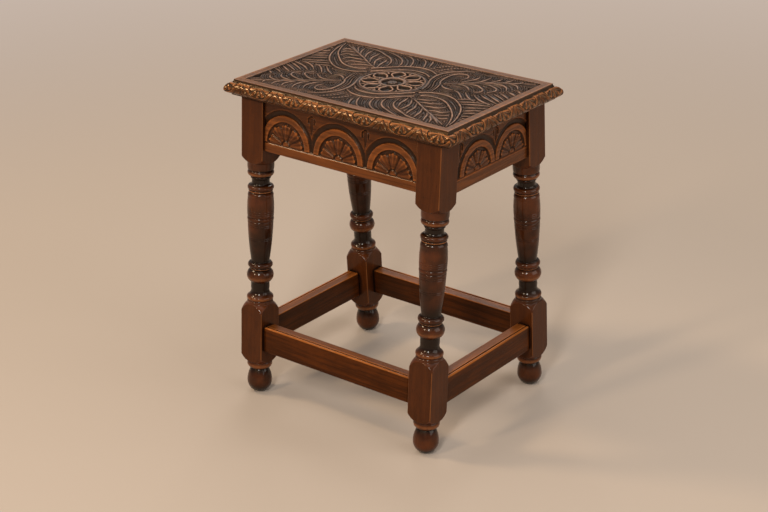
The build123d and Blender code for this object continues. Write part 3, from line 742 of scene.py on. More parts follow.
STRAP_INNER = [(-189, 117), (-183, 101), (-172, 79), (-160, 63), (-146, 48.5), (-129, 33.5), (-114, 25),
               (-98, 22), (-82, 25), (-69, 36)]
OVER_LOWER = [(-60, 23), (-50, 33), (-38, 45), (-21, 58.5), (-2, 65), (17, 63), (31, 55)]
OVER_UPPER = [(-69, 36), (-56, 49), (-41, 65), (-27, 76), (-5, 83), (15, 80.5), (33, 71)]
CROSS_LEFT = [(74, 116), (63, 110), (53, 103), (45, 93), (39.5, 80), (37.5, 66), (39.5, 52), (44, 38),
              (50, 26), (55.5, 13), (58.5, 0)]
CROSS_MIDDLE = [(66, 103), (55, 92), (48, 80), (46.5, 66), (48, 53), (52, 40), (58, 29), (63.5, 17),
                (66.5, 2)]
CROSS_RIGHT = [(80, 71), (83, 80), (82, 89), (77, 95), (70, 97), (62, 93), (56.5, 84), (55, 72), (56.5, 57),
               (60.5, 44), (67, 34), (71, 23), (74, 11), (75.5, 0)]
CURL_RIB = [(70, 40), (92, 58), (112, 73), (130, 86), (152, 101), (186, 121)]
CURL_UPPER = [
    [(94, 103), (98, 95), (98, 85), (94, 74), (88, 63)],
    [(111, 110), (113.5, 101), (113, 91), (111, 82), (106, 73)],
    [(130, 113), (131.5, 105), (129, 95), (124, 85)],
    [(147, 117), (147, 109), (144, 101), (140, 95)],
    [(165, 119), (166, 112), (162, 106), (157, 103)],
]
CURL_LOWER = [
    [(70, 35), (77, 27), (87, 22.5), (98, 24)],
    [(82, 45), (88, 50), (97, 51), (106, 48), (114, 43), (120, 37)],
    [(98, 60), (110, 62), (120, 60.5), (128, 56), (136, 50), (139, 42), (133, 31)],
    [(116, 73), (127, 74.5), (138, 72), (147, 68), (153, 63), (155, 54), (149, 43)],
    [(132, 86), (143, 86), (153, 84), (161, 78), (167, 69)],
    [(150, 99), (161, 98), (170, 94), (177, 86)],
]
COMB_RIGHT = [
    [(184, 75), (193, 70)],
    [(175, 64), (184, 59), (194, 55)],
    [(168, 51), (178, 46), (194, 36)],
    [(163, 43), (176, 36), (194, 26)],
    [(156, 36), (167, 29), (180, 22), (194, 15)],
    [(148, 29), (160, 21), (175, 14), (194, 7)],
    [(141, 22), (152, 12), (168, 3), (185, -1)],
    [(122, 25), (131, 15), (142, 5), (158, -3)],
    [(102, 24), (114, 17), (124, 8), (134, -2)],
]
COMB_LEFT = [
    [(-194, 82), (-185, 88)],
    [(-194, 62), (-187, 67), (-180, 72)],
    [(-194, 45), (-185, 52), (-175, 59)],
    [(-194, 32), (-182, 39), (-169, 49)],
    [(-194, 20), (-180, 26), (-167, 34), (-159, 38)],
    [(-190, 8), (-172, 14), (-157, 22), (-148, 27)],
    [(-178, 2), (-163, 7), (-148, 14), (-139, 18)],
    [(-155, -3), (-142, 3), (-131, 9)],
]
STROKES = CRESCENTS + LEAF_UPPER + LEAF_LOWER + CURL_UPPER + CURL_LOWER + COMB_RIGHT + COMB_LEFT
ROPE_BEADS = 9
CROSS_BEADS = 26
STRAP_HALF_MM = 8.0
OVER_HALF_MM = 10.5
CROSS_HALF_MM = 9.0
RING_RIDGES_MM = (54.5, 60.0)

carving = Carving((-FLAT_MM[0] / 2, -FLAT_MM[1] / 2), (FLAT_MM[0] / 2, FLAT_MM[1] / 2),
                  FIELD_SPACING_MM, GROUND_MM)


def drawn(points, side):
    """Smooth line on one half of the field: side 1 as given, side -1 turned half round."""
    return smooth_line(np.array(points, float) * side)


def strap(first, second, half_width, **stroke):
    """Two edges with the wood between them sunk for reeds. It crosses over what was cut before."""
    carving.sink(midway(first, second), half_width)
    for edge in (first, second):
        carving.ridge(edge, flat=1.3, **stroke)


def ring(radius, **stroke):
    """Ridge in a circle round the middle of the field."""
    turn = np.radians(np.linspace(0, 360, 120))
    carving.ridge(radius * np.column_stack([np.cos(turn), np.sin(turn)]), ends=(1, 1), **stroke)


for side in (1, -1):
    for stroke in STROKES:
        carving.ridge(drawn(stroke, side), flat=1.3, skirt=2.8)
    for rope in ROPES:
        carving.ridge(drawn(rope, side), flat=1.3, skirt=3.6, beads=ROPE_BEADS)
    for rib in (LEAF_RIB, CURL_RIB):
        carving.ridge(drawn(rib, side), flat=1.3, skirt=2.8)
for radius in RING_RIDGES_MM:
    ring(radius, crest=-1.3, flat=0.7, skirt=2.2)
for side in (1, -1):
    strap(drawn(STRAP_OUTER, side), drawn(STRAP_INNER, side), STRAP_HALF_MM, skirt=2.0, ends=(0.6, 1))
    strap(drawn(OVER_LOWER, side), drawn(OVER_UPPER, side), OVER_HALF_MM, skirt=2.2, ends=(1, 0.8))
for side in (1, -1):
    middle = drawn(CROSS_MIDDLE, side)
    carving.sink(middle, CROSS_HALF_MM)
    for edge in (CROSS_LEFT, CROSS_RIGHT):
        carving.ridge(drawn(edge, side), flat=1.5, skirt=2.2)
    carving.ridge(middle, crest=-0.9, flat=0.9, skirt=1.8, beads=CROSS_BEADS)

# Fine reeds fill what the strokes leave free, and follow the nearest stroke all along.
REED_GAP_MM = 4.2
REED_CLEAR_MM = 2.8
REED_SPACING_MM = 3.4
REED_LEVEL_MM = -2.7
REED_WAVE_MM = 1.6
reeds = REED_LEVEL_MM + REED_WAVE_MM * np.cos(2 * math.pi * (carving.gap - REED_GAP_MM) / REED_SPACING_MM)
reeded = (carving.gap > REED_CLEAR_MM) & (carving.gap < ECHO_REACH_MM)
carving.z = np.where(reeded, np.maximum(carving.z, reeds), carving.z)

# Rosette: a domed button in a sunk ring, and round it eight petals of thin ribs that meet in
# points at the rim. Round eyes stand between every second pair of petals, and small blobs stand
# inside the rim. Places are radii from the middle, and levels are heights from the border.
ROSETTE_MM = 52.5
ROSETTE_CREST_MM = -0.5
ROSETTE_RINGS_MM = ((19.6, 2.3), (51.3, 1.2))
BUTTON_MM = 8.5
BUTTON_DOME_MM = 2.0
BUTTON_GROOVE_MM = 3.8
BUTTON_LOBES = 8
BLOB_LEVEL_MM = -0.6
PETALS = 8
PETAL_RIB = [(21.0, 6.0), (28.0, 13.0), (35.0, 16.5), (42.0, 14.5), (47.5, 7.0), (50.5, 0.0)]
EYE_PLACE_MM = 30.5
EYE_RING_MM = 4.4
EYE_WALL_HALF_MM = 1.1
PUPIL_MM = 1.8
PUPIL_LEVEL_MM = -1.8
BLOB_PLACE_MM = 47.0
BLOB_HALF_LENGTH_MM = 4.0
BLOB_HALF_WIDTH_MM = 2.6

x_mm, y_mm = np.meshgrid(carving.x, carving.y)
radius_mm = np.hypot(x_mm, y_mm)
angle_deg = np.degrees(np.arctan2(y_mm, x_mm))
carving.z = np.where(radius_mm < ROSETTE_MM, GROUND_MM, carving.z)
dome = 1 - np.sqrt(np.clip(1 - (radius_mm / BUTTON_MM) ** 2, 0, 1))
groove = np.clip(1 - np.abs(radius_mm - BUTTON_GROOVE_MM) / 1.1, 0, 1)
lobes = np.cos(np.radians(angle_deg * BUTTON_LOBES / 2)) ** 8
button = BLOB_LEVEL_MM - BUTTON_DOME_MM * dome - 0.9 * groove - 0.7 * lobes
carving.z = np.where(radius_mm < BUTTON_MM, button, carving.z)
for radius, flat in ROSETTE_RINGS_MM:
    ring(radius, crest=ROSETTE_CREST_MM, flat=flat, skirt=1.4, hollow=1.0)
for number in range(PETALS):
    eye_deg = 360 / PETALS * number
    petal_deg = eye_deg + 180 / PETALS
    for hand in (1, -1):
        rib = [(out * math.cos(math.radians(petal_deg + hand * aside)),
                out * math.sin(math.radians(petal_deg + hand * aside))) for out, aside in PETAL_RIB]
        carving.ridge(smooth_line(rib), crest=ROSETTE_CREST_MM, flat=1.1, skirt=1.4, hollow=1.0, ends=(1, 1))
    if number % 2 == 0:
        distance = np.hypot(x_mm - EYE_PLACE_MM * math.cos(math.radians(eye_deg)),
                            y_mm - EYE_PLACE_MM * math.sin(math.radians(eye_deg)))
        eye = np.where(np.abs(distance - EYE_RING_MM) < EYE_WALL_HALF_MM, BLOB_LEVEL_MM, GROUND_MM)
        carving.z = np.maximum(carving.z, np.where(distance < PUPIL_MM, PUPIL_LEVEL_MM, eye))
    beside = np.radians(np.abs((angle_deg - eye_deg + 180) % 360 - 180)) * radius_mm
    in_blob = (np.abs(radius_mm - BLOB_PLACE_MM) < BLOB_HALF_LENGTH_MM) & (beside < BLOB_HALF_WIDTH_MM)
    carving.z = np.where(in_blob, np.maximum(carving.z, BLOB_LEVEL_MM - 0.5 * beside), carving.z)

# Border: plain, its inner edge cut down in a short slope to the field.
RIM_SLOPE_MM = 1.6
BORDER_FROM_MM = -0.5
BORDER_CREST = 0.6
edge_gap = np.maximum(np.abs(x_mm) - FIELD_MM[0] / 2, np.abs(y_mm) - FIELD_MM[1] / 2)
carving.z = softened(carving.z, 1) * (1 - np.clip(1 + edge_gap / RIM_SLOPE_MM, 0, 1))

# The crest mask of the field goes by the height, and by how far a place stands out from the mean
# of its wider and its nearer surroundings, so that low places take old wax and painted shade. The border is
# rubbed along both its edges, and its outer strip is also made paler as a painted sheen.
broad = carving.z - softened(carving.z, 24)
close = carving.z - softened(carving.z, 5)
field_crest = 0.24 + 0.36 * (1 - carving.z / GROUND_MM) + 0.1 * broad + 0.12 * close
inner_edge = np.exp(-((edge_gap - 0.5) / 1.2) ** 2)
# Painted sheen and wear: the outer strip of the border is made paler.
outer_wear_and_sheen = np.exp(-((edge_gap - BORDER_MM) / 3.4) ** 2)
border_crest = BORDER_CREST + 0.1 * inner_edge + 0.2 * outer_wear_and_sheen
field_crest = np.where(edge_gap > BORDER_FROM_MM, border_crest, field_crest).ravel()

TOP_DARK = (0.014, 0.008, 0.006, 1)
TOP_LIGHT = (0.07, 0.038, 0.026, 1)
TOP_WORN = (0.62, 0.36, 0.24, 1)
BORDER_DARK = (0.08, 0.03, 0.009, 1)
BORDER_LIGHT = (0.175, 0.066, 0.021, 1)
BORDER_WORN_AND_SHEEN = (0.42, 0.18, 0.075, 1)
top_oak = waxed_oak("carved_top_oak", TOP_DARK, TOP_LIGHT, TOP_WORN, ALONG_X_GRAIN, ALONG_X_PORES,
                    roughness=0.4, coat=0.1, coat_roughness=0.22, rub=0.95, bare_from=0.5, bare_to=0.94)
border_oak = waxed_oak("border_oak", BORDER_DARK, BORDER_LIGHT, BORDER_WORN_AND_SHEEN, ALONG_X_GRAIN, ALONG_X_PORES,
                       roughness=0.38, coat=0.03, coat_roughness=0.2)
field_points = np.column_stack([x_mm.ravel(), y_mm.ravel(), carving.z.ravel() + TOP_MM]) * MM
field_uv = field_points[:, :2] / (FLAT_MM[0] * MM) + (0.5, 0.5 * FLAT_MM[1] / FLAT_MM[0])
field_faces = sheet_faces(*x_mm.shape)
on_border = (edge_gap.ravel()[field_faces] > BORDER_FROM_MM).all(axis=1)
for board_part, material, kept in (("carved_field", top_oak, ~on_border),
                                   ("plain_border", border_oak, on_border)):
    used, renumbered = np.unique(field_faces[kept], return_inverse=True)
    mesh_piece(board_part, field_points[used], renumbered.reshape(-1, 4), material, "seat_top", "oak_top",
               field_uv[used], crest=field_crest[used])


# ---- Top board, edge and underside. A thumb moulding runs round all four edges, mitred at the
# corners and carved with fans that hang from its upper arris and leaves between them.
COVE_MM = (2.0, -4.4)
NOSE_MM = (12.3, -14.6)
FOOT_MM = (7.5, -21.5)
QUIRK_MM = 3.0
BOARD_MM = 25.0
THUMB_SWELL_MM = 2.4
THUMB_TURN_IN_MM = 1.5
FAN_TOP_MM = 5.0
FAN_RADIUS_MM = 20.5
FAN_PETALS = 5
FAN_SHIFT_MM = 11.0
FANS_LONG = 6
FANS_SHORT = 4
# Depths cut into the fans' petals and veins, at their scallops and hearts, and in the leaves.
PETAL_FACE_MM = 0.2
PETAL_CUT_MM = 1.8
VEIN_CUT_MM = 0.25
SCALLOP_CUT_MM = 2.4
HEART_MM = 4.5
HEART_CUT_MM = 0.5
LEAF_FACE_MM = 0.3
LEAF_CUT_MM = 2.0
LEAF_CUT_HALF_MM = 1.2
PLAIN_FOOT_MM = 2.5
EDGE_UV_MM = 420

cove = arc_points((0, 0), COVE_MM, -0.8, 9)
upper_round = arc_points(COVE_MM, NOSE_MM, THUMB_SWELL_MM, 22)
lower_round = arc_points(NOSE_MM, FOOT_MM, THUMB_TURN_IN_MM, 11)
profile = np.vstack([cove, upper_round[1:], lower_round[1:]])
run = np.concatenate([[0], np.cumsum(np.linalg.norm(np.diff(profile, axis=0), axis=1))])
slope_along = np.gradient(profile, axis=0)
slope_along /= np.linalg.norm(slope_along, axis=1)[:, None]
into_wood = np.column_stack([slope_along[:, 1], -slope_along[:, 0]])


def fan_carving(along_mm, down_mm, pitch):
    """Depth cut into the moulding at places along and down it."""
    along_mm = along_mm + FAN_SHIFT_MM
    down_mm = down_mm - FAN_TOP_MM
    from_middle = (along_mm + pitch / 2) % pitch - pitch / 2
    beside = np.abs(from_middle)
    radius = np.hypot(beside, down_mm * 1.08)
    angle = np.degrees(np.arctan2(down_mm, from_middle))
    petal = np.abs((angle * FAN_PETALS / 180) % 1 - 0.5) * 2
    vein = np.abs((angle * FAN_PETALS * 3 / 180) % 1 - 0.5) * 2
    depth = PETAL_FACE_MM + PETAL_CUT_MM * petal ** 3 + VEIN_CUT_MM * vein ** 3
    depth = np.where(radius > FAN_RADIUS_MM - 3.0 * petal ** 2, SCALLOP_CUT_MM, depth)
    depth = np.where(radius < HEART_MM, HEART_CUT_MM, depth)
    outside = radius > FAN_RADIUS_MM + 1.5
    aside = pitch / 2 - beside
    depth = np.where(outside, LEAF_FACE_MM, depth)
    crossing = np.minimum(np.abs(aside - 0.85 * (down_mm - 2)), np.abs(aside - 0.4 * (down_mm - 14)))
    depth = np.where(outside & (crossing < LEAF_CUT_HALF_MM), LEAF_CUT_MM - 1.2 * crossing, depth)
    return depth * np.clip((run[-1] - FAN_TOP_MM - down_mm) / PLAIN_FOOT_MM, 0, 1) * (down_mm > 0)


def moulding_side(half, other_half, fans):
    """One carved side of the moulding, its length along X, facing -Y: points, crest mask, places.
    It is rubbed where the carving stands out; along the fans' tops it is rubbed and painted with a highlight,
    and the cove is painted dark as shade under the arris."""
    pitch = 2 * half / fans
    cols = int(2 * half / 0.9)
    share = np.linspace(-1, 1, cols)
    x = share[None, :] * (half + profile[:, :1])
    down = np.repeat(run[:, None], cols, axis=1)
    depth = fan_carving(x + half, down, pitch)
    outwards = profile[:, :1] + into_wood[:, :1] * depth
    z = profile[:, 1:] + into_wood[:, 1:] * depth
    x = share[None, :] * (half + outwards)
    y = -(other_half + outwards)
    # Deeper cuts lower the crest, which paints them dark with old wax and shade.
    crest = 0.66 + 0.34 * (softened(depth, 12) - depth) - 0.3 * depth
    # Painted highlight, with some rubbing: the shoulder along the fans' tops is made paler.
    crest += 0.3 * np.exp(-((down - FAN_TOP_MM - 1.5) / 2.5) ** 2)
    # Painted shade: the cove under the upper arris is kept dark, with a thin rubbed line at the arris.
    crest = np.where(down < FAN_TOP_MM, 0.16 + 0.5 * np.exp(-(down / 0.7) ** 2), crest)
    along = np.repeat(((share + 1) * half)[None, :], len(run), axis=0)
    return np.dstack([x, y, z + TOP_MM]), crest, np.dstack([along, down])


mould_points = []
mould_faces = []
mould_crest = []
mould_uv = []
count = 0
half_long, half_short = FLAT_MM[0] / 2, FLAT_MM[1] / 2
for number, (half, other_half, fans) in enumerate(
        ((half_long, half_short, FANS_LONG), (half_short, half_long, FANS_SHORT)) * 2):
    points, crest, places = moulding_side(half, other_half, fans)
    turn_by = math.radians(90 * number)
    x, y = points[..., 0].copy(), points[..., 1].copy()
    points[..., 0] = x * math.cos(turn_by) - y * math.sin(turn_by)
    points[..., 1] = x * math.sin(turn_by) + y * math.cos(turn_by)
    mould_faces.append(sheet_faces(*crest.shape)[:, ::-1] + count)
    mould_points.append(points.reshape(-1, 3))
    mould_crest.append(crest.ravel())
    mould_uv.append(places.reshape(-1, 2) / EDGE_UV_MM + (0, 0.1 * number))
    count += crest.size
EDGE_DARK = (0.024, 0.0075, 0.0025, 1)
EDGE_LIGHT = (0.09, 0.026, 0.007, 1)
EDGE_WORN_AND_HIGHLIGHT = (0.5, 0.17, 0.045, 1)
edge_oak = waxed_oak("carved_edge_oak", EDGE_DARK, EDGE_LIGHT, EDGE_WORN_AND_HIGHLIGHT, ALONG_X_GRAIN, ALONG_X_PORES,
                     roughness=0.2, coat=0.08, shine=0.55, shine_tint=(1, 0.62, 0.3, 1))
mesh_piece("carved_edge", np.vstack(mould_points) * MM, np.vstack(mould_faces), edge_oak, "seat_top",
           "oak_top", np.vstack(mould_uv), crest=np.concatenate(mould_crest))

# Quirk and underside of the board, plain and unpolished below.
under = bmesh.new()
loops = []
for outset, height in (FOOT_MM, (QUIRK_MM, FOOT_MM[1]), (QUIRK_MM, -BOARD_MM)):
    reach_x, reach_y = half_long + outset, half_short + outset
    loops.append([under.verts.new(Vector((side_x * reach_x, side_y * reach_y, TOP_MM + height)) * MM)
                  for side_x, side_y in ((-1, -1), (1, -1), (1, 1), (-1, 1))])
skin(under, loops)
under.faces.new(loops[-1][::-1])
bmesh.ops.recalc_face_normals(under, faces=under.faces)
PLAIN_DARK = (0.05, 0.022, 0.012, 1)
PLAIN_LIGHT = (0.12, 0.055, 0.028, 1)
PLAIN_WORN = (0.2, 0.1, 0.05, 1)
plain_oak = waxed_oak("plain_oak", PLAIN_DARK, PLAIN_LIGHT, PLAIN_WORN, ALONG_X_GRAIN, ALONG_X_PORES,
                      roughness=0.55, coat=0.05)
flat_piece("board_underside", under, plain_oak, "seat_top")


# ---- Aprons. Four boards tenoned between the leg tops, each carved on its outer face with round
# arches that hold fans. The gouged ground is rough and painted darker with depth, as old wax and
# shade; bands and petals stand at the board's own face. The pockets for the screws are at the back.
ARCH_BASE_MM = 440.0
BAND_MM = 11.0
GROOVE_MM = 8.5
MOAT_MM = 3.2
BOSS_MM = 7.0
CUT_MM = 3.4
PANEL_BACK_MM = 4.6
PANEL_SPACING_MM = 0.6
PANEL_RIM_CREST = 0.6
PETAL_TURNS = (9, 49, 90, 131, 171)
PETAL_HALF_TURN = 20.5
RIBS = 3
# Drops hang between the arches, round above and narrowing to a point.
DROP_HALF_MM = 5.0
DROP_HEAD_MM = 3.0
DROP_FOOT_SHARE = 0.52
DROP_MOAT_MM = 2.6
DROP_LIP_MM = 1.3
DROP_LIP_CUT_MM = 0.3
DROP_CUT_MM = 1.9
# A line is cut along the arches' base.
BASE_LINE_MM = -0.7
BASE_LINE_HALF_MM = 0.8
BASE_LINE_CUT_MM = 1.5
# How bare the wood is rubbed: the ground, inside the arches, and the strip below them.
GROUND_WEAR = 0.56
ARCH_WEAR = 0.7
STRIP_WEAR = 0.66


def arch_depth(along_mm, up_mm, radius, places):
    """Depth cut into an apron's face and how bare its wood is rubbed, at places along it and above
    the arches' base line."""
    depth = np.zeros(along_mm.shape)
    wear = np.full(along_mm.shape, GROUND_WEAR)
    for place in places:
        distance = np.hypot(along_mm - place, up_mm)
        groove = (distance - radius) / GROOVE_MM
        cut = CUT_MM * np.sqrt(np.clip(1 - (2 * groove - 0.75) ** 2 * 0.64, 0, 1))
        depth = np.where((groove > 0) & (groove < 1) & (up_mm > 0), np.maximum(depth, cut), depth)
        outer_lip = np.abs(groove - 1.16) < 0.12
        depth = np.where(outer_lip & (up_mm > 0), np.maximum(depth - 0.2, 0), depth)
    for place in places:
        across = along_mm - place
        distance = np.hypot(across, up_mm)
        inner = radius - BAND_MM
        band = np.abs(distance - radius + BAND_MM / 2) / (BAND_MM / 2)
        inside = (distance < radius) & (up_mm > 0)
        depth = np.where(inside, 0.1 + 0.9 * band ** 4, depth)
        wear = np.where(inside, ARCH_WEAR, wear)
        fan = inner - MOAT_MM
        turn = np.degrees(np.arctan2(up_mm, across))
        offsets = np.array([turn - petal_turn for petal_turn in PETAL_TURNS]) / PETAL_HALF_TURN
        nearest = np.take_along_axis(offsets, np.abs(offsets).argmin(0)[None], 0)[0]
        beside = np.abs(nearest)
        ribs = 0.5 - 0.5 * np.cos(2 * math.pi * RIBS * (nearest + 1) / 2)
        tip = fan - 5.0 * beside ** 2.2 - 2.0 * (1 - ribs)
        share = np.clip((distance - BOSS_MM) / (fan - BOSS_MM), 0, 1)
        petal = 0.1 + 0.8 * (1 - ribs) * share + 1.0 * (1 - share) + 2.2 * beside ** 3
        shape = np.where(distance < tip, petal, CUT_MM)
        shape = np.where((beside > 0.86) & (distance > 0.45 * fan), np.maximum(shape, CUT_MM - 0.6), shape)
        shape = np.where(distance < BOSS_MM + 2.4, CUT_MM - 0.2, shape)
        dome = 0.3 + 2.2 * (1 - np.sqrt(np.clip(1 - (distance / BOSS_MM) ** 2, 0, 1)))
        shape = np.where(distance < BOSS_MM, dome, shape)
        depth = np.where((distance < inner) & (up_mm > 0), shape, depth)
    half_pitch = (places[1] - places[0]) / 2
    for place in [places[0] - half_pitch] + [left + half_pitch for left in places]:
        across = np.abs(along_mm - place)
        head_up = radius + DROP_HEAD_MM
        foot_up = radius * DROP_FOOT_SHARE
        head = np.sqrt(np.clip(DROP_HALF_MM ** 2 - (up_mm - head_up) ** 2, 0, None))
        tail = DROP_HALF_MM * np.clip((up_mm - foot_up) / (head_up - foot_up), 0, 1) ** 0.7
        half = np.where(up_mm > head_up, head, tail)
        around = (across < half + DROP_MOAT_MM) & (up_mm > head_up - 6) & (up_mm < head_up + 7.5)
        depth = np.where(around & (across >= half), np.maximum(depth, DROP_MOAT_MM), depth)
        depth = np.where(across < half, DROP_LIP_CUT_MM, depth)
        hollow = (across < half - DROP_LIP_MM) & (up_mm < head_up + DROP_HALF_MM - DROP_LIP_MM)
        depth = np.where(hollow, DROP_CUT_MM, depth)
    wear = np.where(up_mm < 2 * BASE_LINE_MM, STRIP_WEAR, wear)
    on_line = np.abs(up_mm - BASE_LINE_MM) < BASE_LINE_HALF_MM
    return np.where(on_line, np.maximum(depth, BASE_LINE_CUT_MM), depth), wear


def apron_panel(name, low_mm, high_mm, half_length, radius, places, base, place_point, node_name, material,
                turned):
    """Carved board front with sides, its back open against the rest of the apron, and that rest."""
    rows = int((high_mm - low_mm) / PANEL_SPACING_MM)
    cols = int(2 * half_length(low_mm) / PANEL_SPACING_MM)
    up = np.linspace(low_mm, high_mm, rows)
    ends = half_length(up)
    along = np.linspace(-1, 1, cols)[None, :] * ends[:, None]
    heights = np.repeat(up[:, None], cols, axis=1)
    depth, wear = arch_depth(along, heights - base, radius, places)
    depth = softened(depth, 1)
    # Deeper cuts lower the crest, which paints them dark with old wax and shade.
    crest = softened(wear, 2) + 0.3 * (softened(depth, 10) - depth) - 0.36 * depth / CUT_MM
    front = place_point(along.ravel(), heights.ravel(), depth.ravel())
    outline = np.concatenate([
        np.arange(cols), np.arange(1, rows) * cols + cols - 1,
        (rows - 1) * cols + np.arange(cols - 2, -1, -1), np.arange(rows - 2, 0, -1) * cols])
    rim_count = len(outline)
    back = place_point(along.ravel()[outline], heights.ravel()[outline], np.full(rim_count, PANEL_BACK_MM))
    behind = rows * cols + np.arange(rim_count)
    side_faces = np.column_stack([outline, behind, np.roll(behind, -1), np.roll(outline, -1)])
    points = np.vstack([front, back]) * MM
    faces = np.vstack([sheet_faces(rows, cols), side_faces])
    flat = np.column_stack([along.ravel(), heights.ravel() - low_mm])
    flat = np.vstack([flat, flat[outline]]) / (2 * half_length(low_mm)) + (0.5, 0)
    crest = np.concatenate([crest.ravel(), np.full(rim_count, PANEL_RIM_CREST)])
    if turned:
        points[:, :2] *= -1
    mesh_piece(name, points, faces, material, node_name, uv=flat, crest=crest)

    rest = bmesh.new()
    rest.from_mesh(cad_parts[node_name].data)
    cut = place_point(np.array([0.0, 1.0, 0.0]), np.array([low_mm, low_mm, high_mm]),
                      np.full(3, PANEL_BACK_MM)) * MM
    if turned:
        cut[:, :2] *= -1
    outwards = np.cross(cut[1] - cut[0], cut[2] - cut[0])
    bmesh.ops.bisect_plane(rest, geom=rest.verts[:] + rest.edges[:] + rest.faces[:], plane_co=cut[0],
                           plane_no=outwards / np.linalg.norm(outwards), clear_outer=True, dist=1e-7)
    flat_piece(name + "_board", rest, material, node_name)


APRON_WORN = (0.42, 0.125, 0.026, 1)
LONG_APRON_FOOT_MM = 424.0
SHORT_APRON_FOOT_MM = 419.5
carved_oak_x, carved_oak_y = oak_both_ways("carved_oak", LEG_DARK, LEG_LIGHT, APRON_WORN, roughness=0.3,
                                           shine=0.2, shine_tint=(1, 0.7, 0.42, 1))
long_low = LONG_APRON_FOOT_MM / math.cos(LEAN)
long_high = (UNDERSIDE_MM - RAIL_FACE_MM * math.sin(LEAN)) / math.cos(LEAN)
LONG_ARCHES = (49.0, (-107.5, -2.5, 102.5), ARCH_BASE_MM / math.cos(LEAN))
SHORT_ARCHES = (45.5, (-36.0, 56.0), ARCH_BASE_MM)
for turned, long_name, short_name in ((False, "apron_front", "apron_right"),
                                      (True, "apron_back", "apron_left")):
    apron_panel("carved_" + long_name, long_low, long_high, long_half, *LONG_ARCHES, front_point,
                long_name, carved_oak_x, turned)
    apron_panel("carved_" + short_name, SHORT_APRON_FOOT_MM, UNDERSIDE_MM, short_half, *SHORT_ARCHES,
                side_point, short_name, carved_oak_y, turned)


# ---- Screws. Six slotted steel screws hold the top down from slanted pockets in the backs of the
# aprons. Their cheese heads stand in the pockets and their threads bite into the board.
SCREW_LEAN = math.radians(15)
SCREW_INSET_MM = 6.0
SCREW_SPACING_MM = 90.0
SIDE_SCREW_X_MM = 178.5
HEAD_MM = 4.2
CROWN_MM = -19.0
SEAT_MM = -16.0
SLOT_DEPTH_MM = 1.2
SLOT_HALF_MM = 0.55
CORE_MM = 1.55
THREAD_MM = 2.1
THREAD_PITCH_MM = 1.6
THREAD_FROM_MM = -3.8
THREAD_ROW_MM = 0.2
TAPER_MM = 4.0
POINT_MM = 13.0
CROWN_EASE_MM = 0.3
STEEL_CLEAN = (0.4, 0.38, 0.36, 1)
STEEL_DULL = (0.2, 0.17, 0.14, 1)

steel = bpy.data.materials.new("dull_steel")
steel.use_nodes = True
steel_tree = steel.node_tree
steel_shader = steel_tree.nodes["Principled BSDF"]
steel_shader.inputs["Metallic"].default_value = 1
tarnish = add_node(steel_tree, "ShaderNodeTexNoise", Scale=260, Detail=4,
                   Vector=add_node(steel_tree, "ShaderNodeTexCoord").outputs["Object"]).outputs["Fac"]
wire(steel_tree, tint(steel_tree, spread(steel_tree, tarnish, 0.35, 0.7), STEEL_CLEAN, STEEL_DULL),
     steel_shader.inputs["Base Color"])
wire(steel_tree, spread(steel_tree, tarnish, 0.3, 0.7, 0.32, 0.55), steel_shader.inputs["Roughness"])

one_screw = bmesh.new()


def screw_ring(radius, turns, up):
    """Points round the screw's axis at one height. Radius is one for all of them or one for each."""
    return [one_screw.verts.new((out * math.cos(turn), out * math.sin(turn), up))
            for out, turn in zip(np.broadcast_to(radius, turns.shape), turns)]


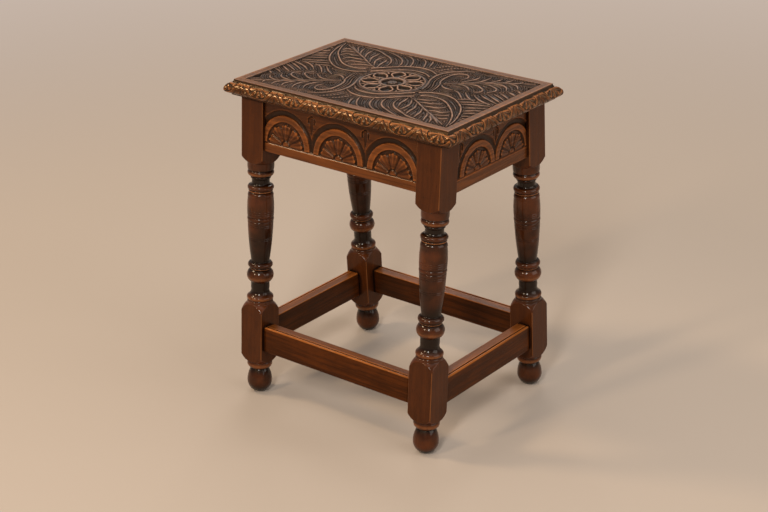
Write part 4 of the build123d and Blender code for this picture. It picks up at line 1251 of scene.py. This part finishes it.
thread_turn = np.linspace(0, 2 * math.pi, 24, endpoint=False)
slot_floor = CROWN_MM + SLOT_DEPTH_MM
shank_rings = [screw_ring(HEAD_MM, thread_turn, slot_floor),
               screw_ring(HEAD_MM, thread_turn, SEAT_MM),
               screw_ring(THREAD_MM, thread_turn, SEAT_MM),
               screw_ring(THREAD_MM, thread_turn, THREAD_FROM_MM - THREAD_ROW_MM)]
for up in np.arange(THREAD_FROM_MM, POINT_MM, THREAD_ROW_MM):
    crest = 1 - np.abs(((up / THREAD_PITCH_MM - thread_turn / (2 * math.pi)) % 1) * 2 - 1)
    taper = min(1, (POINT_MM - up) / TAPER_MM)
    radii = (CORE_MM + (THREAD_MM - CORE_MM) * crest ** 2) * taper
    shank_rings.append(screw_ring(radii, thread_turn, up))
skin(one_screw, shank_rings)
one_screw.faces.new(shank_rings[0][::-1])
one_screw.faces.new(shank_rings[-1])
half_turn = math.acos(SLOT_HALF_MM / HEAD_MM)
for facing in (0, math.pi):
    cheek_turn = facing + np.linspace(-half_turn, half_turn, 16)
    cheek_rings = [screw_ring(HEAD_MM, cheek_turn, slot_floor),
                   screw_ring(HEAD_MM, cheek_turn, CROWN_MM + CROWN_EASE_MM),
                   screw_ring(HEAD_MM - CROWN_EASE_MM, cheek_turn, CROWN_MM)]
    skin(one_screw, cheek_rings)
    one_screw.faces.new(cheek_rings[-1])
bmesh.ops.recalc_face_normals(one_screw, faces=one_screw.faces)

screw_mesh = bpy.data.meshes.new("one_screw")
one_screw.to_mesh(screw_mesh)
one_screw.free()
lean_turn = Matrix.Translation((0, -LEG_FOOT_Y_MM, 0)) @ Matrix.Rotation(-LEAN, 4, "X")
long_place = Matrix.Translation((0, -SCREW_INSET_MM, UNDERSIDE_MM / math.cos(LEAN))) @ Matrix.Rotation(
    SCREW_LEAN, 4, "X")
side_place = Matrix.Translation((SIDE_SCREW_X_MM, 0, UNDERSIDE_MM)) @ Matrix.Rotation(SCREW_LEAN, 4, "Y")
half_places = [lean_turn @ Matrix.Translation((aside, 0, 0)) @ long_place
               for aside in (-SCREW_SPACING_MM, SCREW_SPACING_MM)] + [side_place]
all_screws = bmesh.new()
for half_round in (Matrix.Identity(4), Matrix.Rotation(math.pi, 4, "Z")):
    for screw_place in half_places:
        copy = screw_mesh.copy()
        copy.transform(Matrix.Scale(MM, 4) @ half_round @ screw_place)
        all_screws.from_mesh(copy)
flat_piece("slotted_screws", all_screws, steel, "top_screws")
